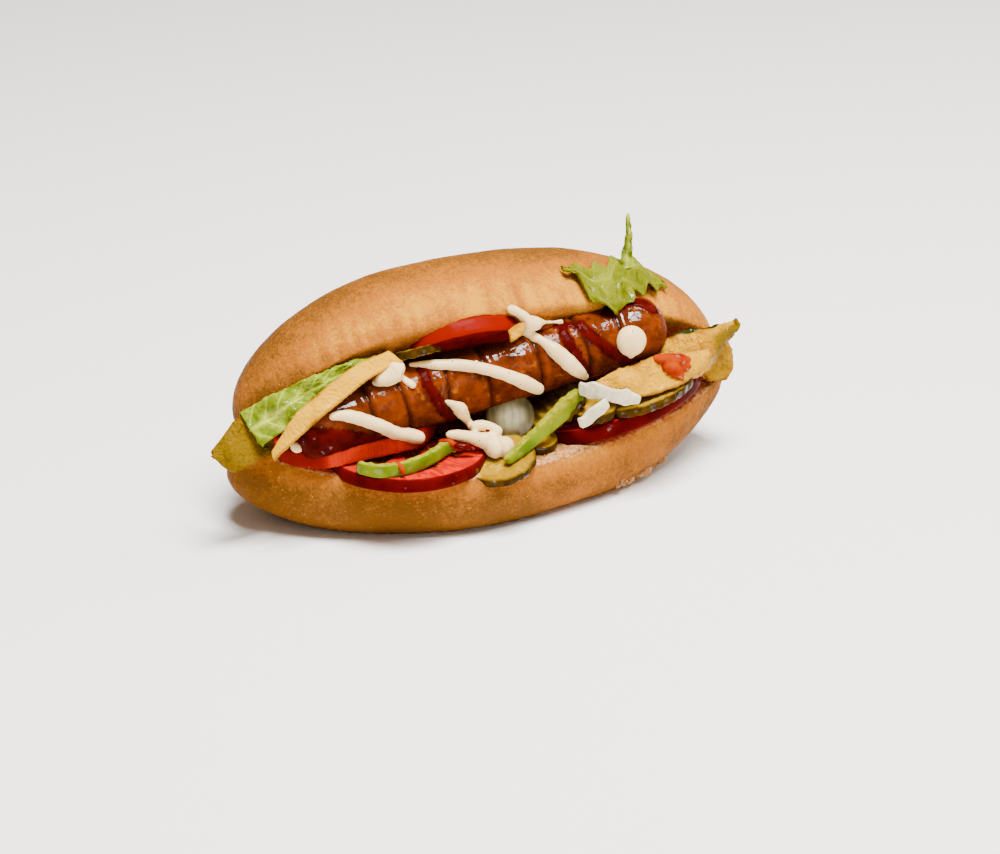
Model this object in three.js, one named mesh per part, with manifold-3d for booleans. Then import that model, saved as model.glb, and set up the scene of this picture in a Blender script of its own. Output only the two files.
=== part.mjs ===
import * as THREE from 'three';
import Module from 'manifold-3d';

// A hot dog: a soft roll hinged at the back and opened towards -Y, round a grilled sausage with
// tomato, pickle, green pepper, onion, lettuce and potato crisps.
// Millimetres, +Z up, +X along the roll.

const wasm = await Module();
wasm.setup();

const V = (x, y, z) => new THREE.Vector3(x, y, z);
const { lerp, clamp, degToRad } = THREE.MathUtils;

// ---------------------------------------------------------------- driving dimensions

const TOUCH = 0.45; // gap kept between touching pieces
const WELD = 1e3; // vertices closer than a thousandth are one

const HEEL = {
  left: -90,
  right: 100,
  tipY: 3.5,
  deepest: -0.15,
  frontDepth: 42.6,
  backDepth: 33,
  leftShoulder: 1.53,
  rightShoulder: 1.42,
  section: 2.23,
  waist: 14.4,
  halfHeight: 22,
  leftTipLift: 4.2,
  rightTipLift: 13.1,
  liftEvenness: 2.4,
  lip: 22,
  lipBack: 27,
  leftTipLip: 7,
  rightTipLip: 6,
};
const CROWN = {
  left: -86,
  right: 98,
  tipY: 2,
  deepest: -0.06,
  frontDepth: 38,
  backDepth: 31,
  leftShoulder: 2.2,
  rightShoulder: 1.7,
  section: 2.4,
  thickness: 34,
  nose: 4,
};
const OPENING = { hingeY: 33, hingeZ: 23, middle: 47, ends: 32, evenness: 3, skew: 2 };

const SAUSAGE = { radius: 12.3, length: 146, puff: 0.35, rings: 10 };

// ---------------------------------------------------------------- shape helpers

// 1 at the middle, 0 at t = -1 and 1; p says how square the shoulders are, q how round the tip.
const swell = (t, p, q) => Math.pow(Math.max(0, 1 - Math.pow(Math.abs(t), p)), 1 / q);

// One coordinate of a superellipse of power n, from a cosine or a sine.
const squared = (c, n) => Math.sign(c) * Math.pow(Math.abs(c), 2 / n);

// A vertex map over a geometry's own uv: place(u, v) gives the new point.
function shaped(geometry, place) {
  const { position, uv } = geometry.attributes;
  for (let i = 0; i < position.count; i++) {
    const p = place(uv.getX(i), uv.getY(i));
    position.setXYZ(i, p.x, p.y, p.z);
  }
  return geometry;
}

// Welds a closed mesh by position, turns it right side out, and makes a manifold of it, with its
// surface moved outwards by grow.
function solid(geometry, grow = 0) {
  const position = geometry.attributes.position;
  const index = geometry.index ? geometry.index.array : [...Array(position.count).keys()];
  const seen = new Map();
  const points = [];
  const welded = [];
  for (let i = 0; i < position.count; i++) {
    const p = V().fromBufferAttribute(position, i);
    const key = [p.x, p.y, p.z].map((c) => Math.round(c * WELD + 0.137)).join();
    if (!seen.has(key)) {
      seen.set(key, points.length);
      points.push(p);
    }
    welded.push(seen.get(key));
  }
  const triangles = [];
  const normals = points.map(() => V());
  let volume = 0;
  for (let i = 0; i < index.length; i += 3) {
    const corners = [welded[index[i]], welded[index[i + 1]], welded[index[i + 2]]];
    const [a, b, c] = corners.map((k) => points[k]);
    if (new Set(corners).size < 3) continue;
    const normal = V().crossVectors(V().subVectors(b, a), V().subVectors(c, a));
    corners.forEach((k) => normals[k].add(normal));
    triangles.push(...corners);
    volume += a.dot(normal);
  }
  if (volume < 0) triangles.reverse();
  const outwards = Math.sign(volume) * grow;
  points.forEach((p, k) => p.addScaledVector(normals[k].normalize(), outwards));
  const vertProperties = new Float32Array(points.flatMap((p) => p.toArray()));
  const triVerts = new Uint32Array(triangles);
  return new wasm.Manifold(new wasm.Mesh({ numProp: 3, vertProperties, triVerts }));
}

// A manifold as a three.js geometry.
function geometryOf(body) {
  const { vertProperties, triVerts } = body.getMesh();
  const geometry = new THREE.BufferGeometry();
  geometry.setAttribute('position', new THREE.BufferAttribute(new Float32Array(vertProperties), 3));
  geometry.setIndex(new THREE.BufferAttribute(new Uint32Array(triVerts), 1));
  return geometry;
}

// Unit directions along and across a path that runs roughly level.
function pathFrame(path, t) {
  const ahead = path.getTangentAt(t);
  const side = V().crossVectors(V(0, 0, 1), ahead).normalize();
  const up = V().crossVectors(ahead, side).normalize();
  return { ahead, side, up };
}

// Bends a geometry that stands along Y, from -length / 2 to length / 2, along a path.
function alongPath(geometry, length, path, reshape = (x, z) => [x, z]) {
  const position = geometry.attributes.position;
  for (let i = 0; i < position.count; i++) {
    const reach = position.getY(i) / length + 0.5;
    const t = clamp(reach, 0, 1);
    const [x, z] = reshape(position.getX(i), position.getZ(i), t);
    const { ahead, side, up } = pathFrame(path, t);
    const p = path.getPointAt(t).addScaledVector(side, x).addScaledVector(up, z);
    p.addScaledVector(ahead, (reach - t) * length);
    position.setXYZ(i, p.x, p.y, p.z);
  }
  return geometry;
}

// ---------------------------------------------------------------- roll

// Plan outline of one half at station s, -1 to 1 along it: middle line and half width.
function plan(half, s) {
  const side = s < half.deepest ? -1 : 1;
  const shoulder = side < 0 ? half.leftShoulder : half.rightShoulder;
  const t = (s - half.deepest) / (side - half.deepest);
  const front = half.tipY - half.frontDepth * swell(t, shoulder, 1.6);
  const back = half.tipY + half.backDepth * swell(s, 2.4, 2);
  return { middle: (front + back) / 2, halfWidth: (back - front) / 2 };
}

// Height of the cut face that the filling lies on.
function cutHeight(s, y) {
  const inward = clamp((y + 40) / 70, 0, 1);
  const tipLip = s < 0 ? HEEL.leftTipLip : HEEL.rightTipLip;
  return lerp(HEEL.lip, HEEL.lipBack, inward) + tipLip * Math.pow(Math.abs(s), 3);
}

function heelPoint(u, v) {
  const s = -Math.cos(Math.PI * v);
  const a = 2 * Math.PI * u;
  const { middle, halfWidth } = plan(HEEL, s);
  const rise = (s < 0 ? HEEL.leftTipLift : HEEL.rightTipLift) * Math.pow(Math.abs(s), HEEL.liftEvenness);
  const halfHeight = HEEL.halfHeight * swell(s, 3, 2);
  const y = middle + halfWidth * squared(Math.cos(a), HEEL.section);
  const z = HEEL.waist + rise + halfHeight * squared(Math.sin(a), HEEL.section);
  return V(lerp(HEEL.left, HEEL.right, (s + 1) / 2), y, clamp(z, 0, cutHeight(s, y)));
}

// Swings a point of the closed crown up round the hinge.
function opened(x, y, z, s) {
  const closing = Math.pow(Math.abs(s), OPENING.evenness);
  const angle = degToRad(lerp(OPENING.middle, OPENING.ends, closing) + OPENING.skew * s);
  const reach = OPENING.hingeY - y;
  return V(
    x,
    OPENING.hingeY - reach * Math.cos(angle) + z * Math.sin(angle),
    OPENING.hingeZ + reach * Math.sin(angle) + z * Math.cos(angle),
  );
}

// The crown's surface at station s, turned round its section by angle a: 0 at the hinge, a
// quarter turn at the top of the dome, half a turn at the lip; lift moves it outwards.
function crownSurface(s, a, lift = 0) {
  const { middle, halfWidth } = plan(CROWN, s);
  const round = swell(s, 2.8, 2);
  const y = middle + (halfWidth + lift) * squared(Math.cos(a), CROWN.section);
  const height = (Math.sin(a) > 0 ? CROWN.thickness : CROWN.nose) * round + lift;
  return opened(lerp(CROWN.left, CROWN.right, (s + 1) / 2), y, height * squared(Math.sin(a), CROWN.section), s);
}

const crownPoint = (u, v) => crownSurface(-Math.cos(Math.PI * v), 2 * Math.PI * u);

// ---------------------------------------------------------------- sausage

const sausagePath = new THREE.QuadraticBezierCurve3(V(-74, -13, 38.5), V(2, -6.5, 48), V(69, -10, 57.5));

function sausage() {
  const { radius, length, puff, rings } = SAUSAGE;
  const capsule = new THREE.CapsuleGeometry(radius, length - 2 * radius, 4, 16, 24);
  return alongPath(capsule, length, sausagePath, (x, z, t) => {
    const swollen = 1 + (puff / radius) * Math.cos(2 * Math.PI * rings * t);
    return [x * swollen, z * swollen];
  });
}

// A point on the sausage: t along it, turned up from its open side by an angle.
function onSausage(t, turn, lift) {
  const { side, up } = pathFrame(sausagePath, t);
  const out = SAUSAGE.radius + lift;
  const angle = degToRad(turn);
  return sausagePath
    .getPointAt(t)
    .addScaledVector(side, -out * Math.cos(angle))
    .addScaledVector(up, out * Math.sin(angle));
}

// A squeezed string of mayonnaise along points, with a blob at its last end.
function mayoString(points, { width, blob = 1, sides = 6, steps = 10 }) {
  const path = new THREE.CatmullRomCurve3(points);
  const length = path.getLength();
  const capsule = new THREE.CapsuleGeometry(width / 2, length - width, 2, sides, steps);
  return alongPath(capsule, length, path, (x, z, t) => {
    const swollen = lerp(0.85, blob, t * t);
    return [x * swollen, z * swollen];
  });
}

const onMeat = (stations) => stations.map(([t, turn]) => onSausage(t, turn, 0.6));

const mayoOnSausage = [
  mayoString([...onMeat([[0.09, 29], [0.155, 14], [0.201, -6], [0.251, -35]]), V(-28, -22, 34.2)], { width: 4.4 }),
  mayoString(onMeat([[0.338, 84], [0.391, 73], [0.441, 49], [0.506, 22], [0.581, -14], [0.64, -33]]), {
    width: 4.4,
    blob: 1.3,
  }),
  mayoString([V(6.6, -15, 74), V(12, -16, 70.7), ...onMeat([[0.632, 76], [0.679, 24], [0.714, -7], [0.754, -44]])], {
    width: 4.8,
  }),
  mayoString(onMeat([[0.84, 13], [0.875, 10], [0.91, 6]]), { width: 12, blob: 0.9, steps: 3 }),
  mayoString(onMeat([[0.211, 63], [0.248, 62], [0.281, 72], [0.306, 50]]), { width: 6, blob: 0.5, steps: 6 }),
  mayoString([...onMeat([[0.393, -10], [0.411, -33]]), V(-9.9, -20, 34)], { width: 4, steps: 5 }),
];

// ---------------------------------------------------------------- filling shapes

// Lays a geometry made round its own origin at a place, with its own Z facing one way.
function laid(geometry, at, facing, along = [1, 0, 0]) {
  const z = V(...facing).normalize();
  const x = V(...along);
  x.addScaledVector(z, -x.dot(z)).normalize();
  const y = V().crossVectors(z, x);
  return geometry.applyMatrix4(new THREE.Matrix4().makeBasis(x, y, z).setPosition(...at));
}

// A slice round its own origin: reach(angle) scales its outline, and lift(x, y) bends it at bends
// rings of points.
function slice({ radius, thickness, sides = 24, bends = 1, reach = () => 1, lift = () => 0 }) {
  const half = thickness / 2;
  const inner = radius - half;
  const rings = Array.from({ length: bends + 1 }, (_, i) => [(inner * i) / bends, -half]);
  const lower = [...rings, [radius - 0.12 * half, -half / 2]];
  const upper = lower.map(([r, z]) => [r, -z]).reverse();
  const profile = [...lower, ...upper].map(([r, z]) => new THREE.Vector2(r, z));
  const geometry = new THREE.LatheGeometry(profile, sides);
  const { position } = geometry.attributes;
  for (let i = 0; i < position.count; i++) {
    const angle = Math.atan2(position.getZ(i), position.getX(i));
    const x = position.getX(i) * reach(angle);
    const y = position.getZ(i) * reach(angle);
    position.setXYZ(i, x, y, position.getY(i) + lift(x, y));
  }
  return geometry;
}

// An oval outline for a slice, longer along its own X.
const oval = (stretch) => (angle) => 1 / Math.hypot(Math.cos(angle) / stretch, Math.sin(angle));

// A round outline cut straight along its front, at a share of its radius.
const cutAcross = (share) => (angle) => Math.min(1, share / Math.max(share, -Math.sin(angle)));

// A strip of even section bent along points, standing on its narrow edge.
function strip(points, { thickness, height, steps = 12 }) {
  const path = new THREE.CatmullRomCurve3(points.map((p) => V(...p)));
  const length = path.getLength();
  return alongPath(new THREE.BoxGeometry(thickness, length, height, 1, steps, 1), length, path);
}

// A leaf: a sheet of even thickness about the surface mid(u, v), u and v from 0 to 1, with both
// faces split alike and a rim round its edge.
function leaf(across, along, thickness, mid) {
  const sheet = new THREE.PlaneGeometry(1, 1, across, along);
  shaped(sheet, mid);
  sheet.computeVertexNormals();
  const { position, normal } = sheet.attributes;
  const count = position.count;
  const points = [];
  for (const sign of [1, -1]) {
    for (let i = 0; i < count; i++) {
      const p = V().fromBufferAttribute(position, i);
      p.addScaledVector(V().fromBufferAttribute(normal, i), (sign * thickness) / 2);
      points.push(...p.toArray());
    }
  }
  const faces = [...sheet.index.array];
  const index = [...faces];
  for (let i = 0; i < faces.length; i += 3) {
    index.push(faces[i + 2] + count, faces[i + 1] + count, faces[i] + count);
  }
  const row = across + 1;
  const rim = [];
  for (let i = 0; i < across; i++) rim.push(i);
  for (let j = 0; j < along; j++) rim.push(j * row + across);
  for (let i = across; i > 0; i--) rim.push(along * row + i);
  for (let j = along; j > 0; j--) rim.push(j * row);
  rim.forEach((a, k) => {
    const b = rim[(k + 1) % rim.length];
    index.push(a, b, a + count, b, b + count, a + count);
  });
  const geometry = new THREE.BufferGeometry();
  geometry.setAttribute('position', new THREE.Float32BufferAttribute(points, 3));
  geometry.setIndex(index);
  return geometry;
}

// A leaf between two edges, each a list of points, with a wave(u, v) out of its surface.
function ruledLeaf(lower, upper, { across = 12, along = 4, thickness = 1, wave = () => 0 }) {
  const [low, high] = [lower, upper].map((edge) => new THREE.CatmullRomCurve3(edge.map((p) => V(...p))));
  return leaf(across, along, thickness, (u, v) => {
    const [p, q] = [low.getPoint(u), high.getPoint(u)];
    const ahead = low.getTangent(u);
    const out = V().crossVectors(ahead, V().subVectors(q, p)).normalize();
    return p.lerp(q, v).addScaledVector(out, wave(u, v));
  });
}

// ---------------------------------------------------------------- filling

const tomato = (at, facing, along, stretch = 1, radius = 29, thickness = 5) =>
  laid(slice({ radius, thickness, reach: oval(stretch) }), at, facing, along);

const RIDGES = 12;
const ridged = (stretch) => (angle) => oval(stretch)(angle) * (1 + 0.02 * Math.cos(RIDGES * angle));
const pickle = (at, facing, radius, { stretch = 1, along = [1, 0, 0], thickness = 3, wave = 0 } = {}) => {
  const lift = (x) => wave * Math.sin(x * 1.6);
  return laid(slice({ radius, thickness, reach: ridged(stretch), lift, bends: wave ? 4 : 1 }), at, facing, along);
};

// A crisp: a thin slice of potato, curled across itself.
const crisp = (at, facing, radius, { curl }) => {
  const reach = (angle) => 1 + 0.03 * Math.cos(3 * angle + 1) + 0.02 * Math.cos(5 * angle);
  const lift = (x, y) => curl * y * y;
  return laid(slice({ radius, thickness: 1.5, sides: 20, bends: 2, reach, lift }), at, facing);
};

// Lettuce folded over the crown's lip, with a loop of its frill hanging down.
function lettuceOnLip(u, v) {
  const rise = Math.sin(Math.PI * u);
  const loop = Math.exp(-Math.pow((u - 0.33) / 0.16, 2));
  const upper = 160 - 24 * Math.sin(Math.PI * Math.pow(u, 3));
  const lower = 162 + 14 * rise + 32 * loop;
  const frill = 1.2 * Math.sin(26 * u) * (1 - 0.5 * v) + (3 * rise + 3 * loop) * Math.pow(1 - v, 2);
  return crownSurface(lerp(0.29, 0.75, u), degToRad(lerp(lower, upper, v)), 1.8 + frill);
}

const fillings = {
  tomato_front: [tomato([-31, -13, 25], [0.02, 0, 1])],
  tomato_left: [laid(slice({ radius: 31, thickness: 6, reach: cutAcross(0.82) }), [-46.5, 2, 31.5], [-0.06, 0.03, 1])],
  tomato_right: [tomato([54.2, -0.9, 27.3], [-0.17, 0.11, 1], [1, 0.43, 0], 1.45, 27, 5.5)],
  tomato_top: [tomato([-7.5, -10.5, 63.5], [0, -0.72, -0.69], [1, 0, 0.18], 2.1, 9.5, 7)],
  pickle_front: [pickle([-2.7, -29, 24.3], [-0.16, -0.23, 1], 13.5)],
  pickle_leaning: [pickle([25.5, -14.5, 34.5], [-0.55, 0.05, 0.83], 12.5, { wave: 0.5 })],
  pickle_small: [pickle([15, -23, 26], [0, -0.2, 1], 7)],
  pickle_middle: [pickle([36.5, -22, 34.5], [-0.1, -0.15, 1], 8.5)],
  pickle_long: [pickle([60.5, -20.7, 35.4], [-0.14, 0.08, 1], 10, { stretch: 1.9, along: [1, 0.45, 0] })],
  pickle_top: [pickle([-25, -9, 60], [-0.1, 0.4, 0.9], 9)],
  pepper_front: [
    strip([[-53.7, -28.6, 30], [-47.5, -34.6, 30], [-39, -35.5, 30], [-28.5, -32, 30.5], [-17.7, -24.6, 31]], {
      thickness: 3,
      height: 4.8,
    }),
  ],
  pepper_right: [
    strip([[-2, -35, 28], [9, -31, 31], [22, -27, 36], [33, -22, 41]], { thickness: 3, height: 6 }),
  ],
  onion_ring: [
    laid(
      slice({ radius: 8.5, thickness: 1.8, sides: 16, bends: 2, lift: (x, y) => -0.03 * (x * x + y * y) }),
      [6.5, -19.5, 35],
      [-0.15, -0.92, 0.35],
    ),
  ],
  onion_strip: [
    strip([[29.5, -25.2, 44.2], [34.5, -30, 44.3], [42.2, -32, 41.6], [50, -32, 39.6]], { thickness: 1.6, height: 4.5 }),
  ],
  onion_strip_low: [
    strip([[26.3, -33, 34.2], [29.7, -33, 36.1], [33.5, -33, 38.5], [37.7, -32, 40.5]], { thickness: 1.6, height: 3.5 }),
  ],
  crisp_left: [
    ruledLeaf(
      [[-100.3, -14, 35.5], [-93.7, -15.5, 29.8], [-86, -16.5, 31.1], [-77.7, -16, 33]],
      [[-99, -12, 36.3], [-93.5, -9.5, 41.7], [-87, -8.3, 46.7], [-77.6, -8.5, 42.7]],
      { across: 10, along: 4, thickness: 1.5, wave: (u, v) => 2.5 * Math.sin(Math.PI * v) * Math.sin(5 * u) },
    ),
  ],
  crisp_long: [
    ruledLeaf(
      [[-81.3, -24, 35], [-71.2, -25, 43.7], [-60.8, -24, 50.3], [-52.7, -22, 54.4], [-44.6, -20, 58.1], [-32.4, -17, 60.7]],
      [[-80.7, -21, 36.6], [-75.8, -21, 45.3], [-69.3, -20, 51.3], [-60.2, -19, 57], [-49.6, -17, 62.1], [-36.7, -14, 64]],
      { across: 16, along: 2, thickness: 1.8 },
    ),
  ],
  crisp_right: [
    ruledLeaf(
      [[36.5, -26, 44.4], [43.6, -29, 41.4], [50.9, -30, 39.4], [59.1, -29, 39.6], [69.9, -26, 40.2], [81.4, -20, 43.4]],
      [[36.6, -24, 45.1], [44.4, -23.5, 47.8], [51.4, -23, 49], [62.5, -22, 50.9], [78.1, -19, 48.5], [84.4, -16, 47.9]],
      { across: 12, along: 3, thickness: 1.5, wave: (u, v) => 1.2 * Math.sin(Math.PI * v) * Math.sin(9 * u) },
    ),
  ],
  crisp_curled: [
    ruledLeaf(
      [[64, -16, 42], [72, -16.5, 37], [81, -13.5, 35.5], [88, -10.5, 38.5], [94.6, -7.5, 44], [100.8, -4, 49.4]],
      [[62.9, -15, 50], [69, -14, 53], [77, -11, 53.5], [84.5, -9, 52.5], [93, -6, 51.5], [101.3, -3, 50.3]],
      { across: 12, along: 4, thickness: 1.5, wave: (u, v) => 3 * Math.sin(Math.PI * v) },
    ),
  ],
  crisp_lobe: [crisp([93.5, -3, 37.8], [0.4, -0.85, 0.3], 9.3, { curl: 0.02 })],
  lettuce_left: [
    ruledLeaf(
      [[-83.4, -17, 37.6], [-71.7, -19, 46.3], [-51.3, -15, 57.4], [-42, -14.6, 61.4]],
      [[-88.3, -9, 48], [-68.2, -13, 57.4], [-49.6, -12.5, 61.6], [-41, -13, 63]],
      { across: 14, along: 6, wave: (u, v) => 1.1 * Math.sin(22 * u + 3 * v) },
    ),
  ],
  lettuce_right: [
    leaf(20, 5, 1, lettuceOnLip),
    ruledLeaf(
      [[58, 4.5, 74], [60, 5.5, 84], [60.5, 5, 94]],
      [[64, 4.5, 74], [63, 5.5, 84], [61.5, 5, 94.5]],
      { across: 8, along: 2, wave: (u) => 0.8 * Math.sin(7 * u) },
    ),
  ],
  mayo_pool: [
    mayoString([V(-20, -25, 34.5), V(-11, -26, 33.5), V(-3, -27, 31)], { width: 5.5, steps: 4 }),
    mayoString([V(4, -23, 30.5), V(-1, -28, 29.5), V(-5, -33, 27)], { width: 10, steps: 4 }),
    mayoString([V(-9, -22, 35), V(-4, -25, 33), V(-2, -28, 30)], { width: 5, steps: 3 }),
  ],
};

// ---------------------------------------------------------------- assembly

// One finish for each kind of piece, named by the first word of its name.
const finishes = {
  bun: { color: 0xd9a263, roughness: 0.6 },
  sausage: { color: 0x8c3b1f, roughness: 0.25 },
  tomato: { color: 0xd6281a, roughness: 0.2 },
  pickle: { color: 0x9a9a32, roughness: 0.25 },
  pepper: { color: 0x9cc93a, roughness: 0.3 },
  onion: { color: 0xe3e6dc, roughness: 0.3 },
  crisp: { color: 0xe8bd5a, roughness: 0.55 },
  lettuce: { color: 0x8fbf4d, roughness: 0.45 },
  mayo: { color: 0xf6f0dc, roughness: 0.3 },
};

const united = (bodies) => bodies.reduce((whole, body) => whole.add(body));
const largest = (body) => body.decompose().sort((a, b) => b.volume() - a.volume())[0];

// Each piece gives way to those laid before it, and the roll to them all.
const hotDog = new THREE.Group();
let laidSoFar = null;
function add(name, geometries) {
  let body = united(geometries.map((geometry) => solid(geometry)));
  if (laidSoFar) body = largest(body.subtract(laidSoFar));
  const fat = united(geometries.map((geometry) => solid(geometry, TOUCH)));
  laidSoFar = laidSoFar ? laidSoFar.add(fat) : fat;
  const [kind] = name.split('_');
  const material = new THREE.MeshStandardMaterial({ ...finishes[kind], metalness: 0 });
  const mesh = new THREE.Mesh(geometryOf(body), material);
  mesh.name = name;
  hotDog.add(mesh);
}

add('sausage', [sausage(), ...mayoOnSausage]);
for (const [name, geometries] of Object.entries(fillings)) add(name, geometries);
const rollHalf = (place) => shaped(new THREE.SphereGeometry(1, 22, 28), place);
add('bun', [rollHalf(heelPoint), rollHalf(crownPoint)]);

// The origin is on the ground, under the middle of the box round the whole.
const box = new THREE.Box3().setFromObject(hotDog);
const middle = box.getCenter(V());
hotDog.position.set(-middle.x, -middle.y, -box.min.z);

export default hotDog;
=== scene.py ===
# %% [markdown]
# # A hot dog in Blender, piece by piece
# A soft roll is cut along its front and opened like a book round a grilled sausage. Tomato,
# pickle, green pepper, onion, lettuce and potato crisps lie in the fold, and mayonnaise and
# ketchup run over them. Each cell makes one piece or one finish. The solids of the same
# hot dog come first, as a frame: they fix where every piece goes.

# %% Load the frame
import math

import bpy
import bmesh
import numpy as np
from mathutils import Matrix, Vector, noise


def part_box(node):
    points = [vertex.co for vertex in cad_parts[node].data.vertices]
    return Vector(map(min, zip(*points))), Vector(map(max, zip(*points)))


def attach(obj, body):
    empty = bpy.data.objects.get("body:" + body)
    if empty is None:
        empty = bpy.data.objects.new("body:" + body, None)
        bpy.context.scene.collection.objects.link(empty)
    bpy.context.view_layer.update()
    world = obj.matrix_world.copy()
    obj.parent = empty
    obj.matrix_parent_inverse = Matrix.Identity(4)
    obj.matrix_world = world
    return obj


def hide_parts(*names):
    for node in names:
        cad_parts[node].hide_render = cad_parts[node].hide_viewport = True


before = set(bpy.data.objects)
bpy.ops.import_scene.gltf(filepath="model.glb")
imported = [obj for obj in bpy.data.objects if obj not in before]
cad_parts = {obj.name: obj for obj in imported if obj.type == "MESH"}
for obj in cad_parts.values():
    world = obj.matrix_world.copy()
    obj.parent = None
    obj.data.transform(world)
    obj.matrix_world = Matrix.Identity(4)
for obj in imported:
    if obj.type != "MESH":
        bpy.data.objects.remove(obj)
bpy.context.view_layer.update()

# %% [markdown]
# ## Sizes
# Every shape below is worked out in millimetres about the roll's own middle, with +X along
# the roll, the open side towards -Y and +Z up. The solids stand a little to the side of that
# middle, so each finished mesh is moved by PLACE and turned into metres once, when it is made.

# %% Driving sizes
PLACE = np.array([-1.017, -1.711, 0.0])
METRE = 1000.0

HEEL = dict(
    left=-90, right=100, tip_y=3.5, deepest=-0.15, front=42.6, back=33, left_shoulder=1.53,
    right_shoulder=1.42, section=2.23, waist=14.4, half_height=22, left_tip_lift=4.2,
    right_tip_lift=13.1, lift_evenness=2.4, lip=22, lip_back=27, left_tip_lip=7, right_tip_lip=6,
)
CROWN = dict(
    left=-86, right=98, tip_y=2, deepest=-0.06, front=38, back=31, left_shoulder=2.2,
    right_shoulder=1.7, section=2.4, thickness=34, nose=4,
)
OPENING = dict(hinge_y=33, hinge_z=23, middle=47, ends=32, evenness=3, skew=2)
SAUSAGE = dict(start=(-74, -13, 38.5), bend=(2, -6.5, 48), end=(69, -10, 57.5), radius=12.3, length=146)

solid_left = round(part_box("bun")[0][0] * METRE, 2)
print("bun solid starts at x", solid_left, "and the roll at", HEEL["left"] + PLACE[0])

# %% [markdown]
# ## Rules of shape
# A roll is not an ellipsoid: its shoulders are square and its tips are round. One rule,
# swell, gives the width at each station, and a superellipse gives the section.


# %% Rules of shape
def lerp(a, b, t):
    return a + (b - a) * t


def ramp(value, low, high):
    """0 below low, 1 above high, smooth between them."""
    t = np.clip((value - low) / (high - low), 0, 1)
    return t * t * (3 - 2 * t)


def swell(t, shoulder, tip):
    return np.maximum(0, 1 - np.abs(t) ** shoulder) ** (1 / tip)


def squared(c, power):
    return np.sign(c) * np.abs(c) ** (2 / power)


def plan(half, s):
    """Middle line and half width of one half of the roll at station s, from -1 to 1."""
    side = np.where(s < half["deepest"], -1, 1)
    shoulder = np.where(side < 0, half["left_shoulder"], half["right_shoulder"])
    t = (s - half["deepest"]) / (side - half["deepest"])
    front = half["tip_y"] - half["front"] * swell(t, shoulder, 1.6)
    back = half["tip_y"] + half["back"] * swell(s, 2.4, 2)
    return (front + back) / 2, (back - front) / 2


def cut_height(s, y):
    inward = np.clip((y + 40) / 70, 0, 1)
    tip_lip = np.where(s < 0, HEEL["left_tip_lip"], HEEL["right_tip_lip"])
    return lerp(HEEL["lip"], HEEL["lip_back"], inward) + tip_lip * np.abs(s) ** 3


def heel_surface(u, v):
    s, a = -np.cos(np.pi * v), 2 * np.pi * u
    middle, half_width = plan(HEEL, s)
    y = middle + half_width * squared(np.cos(a), HEEL["section"])
    tip_lift = np.where(s < 0, HEEL["left_tip_lift"], HEEL["right_tip_lift"])
    rise = tip_lift * np.abs(s) ** HEEL["lift_evenness"]
    z = HEEL["waist"] + rise + HEEL["half_height"] * swell(s, 3, 2) * squared(np.sin(a), HEEL["section"])
    z = np.clip(z, 0, cut_height(s, y))
    return np.column_stack([lerp(HEEL["left"], HEEL["right"], (s + 1) / 2), y, z])


def opening_angle(s):
    angle = lerp(OPENING["middle"], OPENING["ends"], np.abs(s) ** OPENING["evenness"])
    return np.radians(angle + OPENING["skew"] * s)


def crown_surface(s, a, lift=0.0):
    """The crown at station s: a is 0 at the hinge, a quarter turn on top and half a turn at the lip."""
    middle, half_width = plan(CROWN, s)
    y = middle + (half_width + lift) * squared(np.cos(a), CROWN["section"])
    height = np.where(np.sin(a) > 0, CROWN["thickness"], CROWN["nose"]) * swell(s, 2.8, 2) + lift
    z = height * squared(np.sin(a), CROWN["section"])
    reach, angle = OPENING["hinge_y"] - y, opening_angle(s)
    x = lerp(CROWN["left"], CROWN["right"], (s + 1) / 2)
    swung_y = OPENING["hinge_y"] - reach * np.cos(angle) + z * np.sin(angle)
    swung_z = OPENING["hinge_z"] + reach * np.sin(angle) + z * np.cos(angle)
    return np.column_stack([x + 0 * y, swung_y, swung_z])


# %% [markdown]
# ## Helpers for meshes
# Food is never even. The helpers build closed grids of points with numpy, add slow or fine
# unevenness with Blender's own noise, and turn the points into a mesh whose faces point out.


# %% Helpers for grids
TINY = 1e-9


def unit(vectors):
    return vectors / np.maximum(np.linalg.norm(vectors, axis=-1, keepdims=True), TINY)


def uneven(points, size, depth=3, seed=0.0):
    """Fractal noise from about -1 to 1 at each point; size is that of the largest lumps, in mm."""
    shift = Vector((seed, 2.3 * seed, 5.1 * seed))
    return np.array([noise.fractal(Vector(p) / size + shift, 1.0, 2.0, depth) for p in points])


def grid_uv(around, along):
    """The u and v of each point of a closed grid: rings of points, then the pole at either end."""
    u, v = np.meshgrid(np.arange(around) / around, np.arange(1, along) / along)
    return np.append(u.ravel(), [0, 0]), np.append(v.ravel(), [0, 1])


def grid_faces(around, along):
    first = around * (along - 1)
    top = first - around
    faces = []
    for j in range(along - 2):
        for i in range(around):
            a, b = j * around + i, j * around + (i + 1) % around
            faces.append((a, b, b + around, a + around))
    for i in range(around):
        k = (i + 1) % around
        faces += [(first, k, i), (first + 1, top + i, top + k)]
    return faces


def closed_grid(place, around, along):
    """Points and faces of a closed surface place(u, v), round in u, with a pole at each end of v."""
    return place(*grid_uv(around, along)), grid_faces(around, along)


def point_normals(points, faces):
    normals = np.zeros_like(points)
    corners = np.array([face[:3] for face in faces])
    a, b, c = (points[corners[:, k]] for k in range(3))
    face_normals = np.cross(b - a, c - a)
    for k in range(3):
        np.add.at(normals, corners[:, k], face_normals)
    return unit(normals)


# %% Helpers for objects
def linked(name, data):
    made = bpy.data.objects.new(name, data)
    bpy.context.scene.collection.objects.link(made)
    return made


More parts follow.
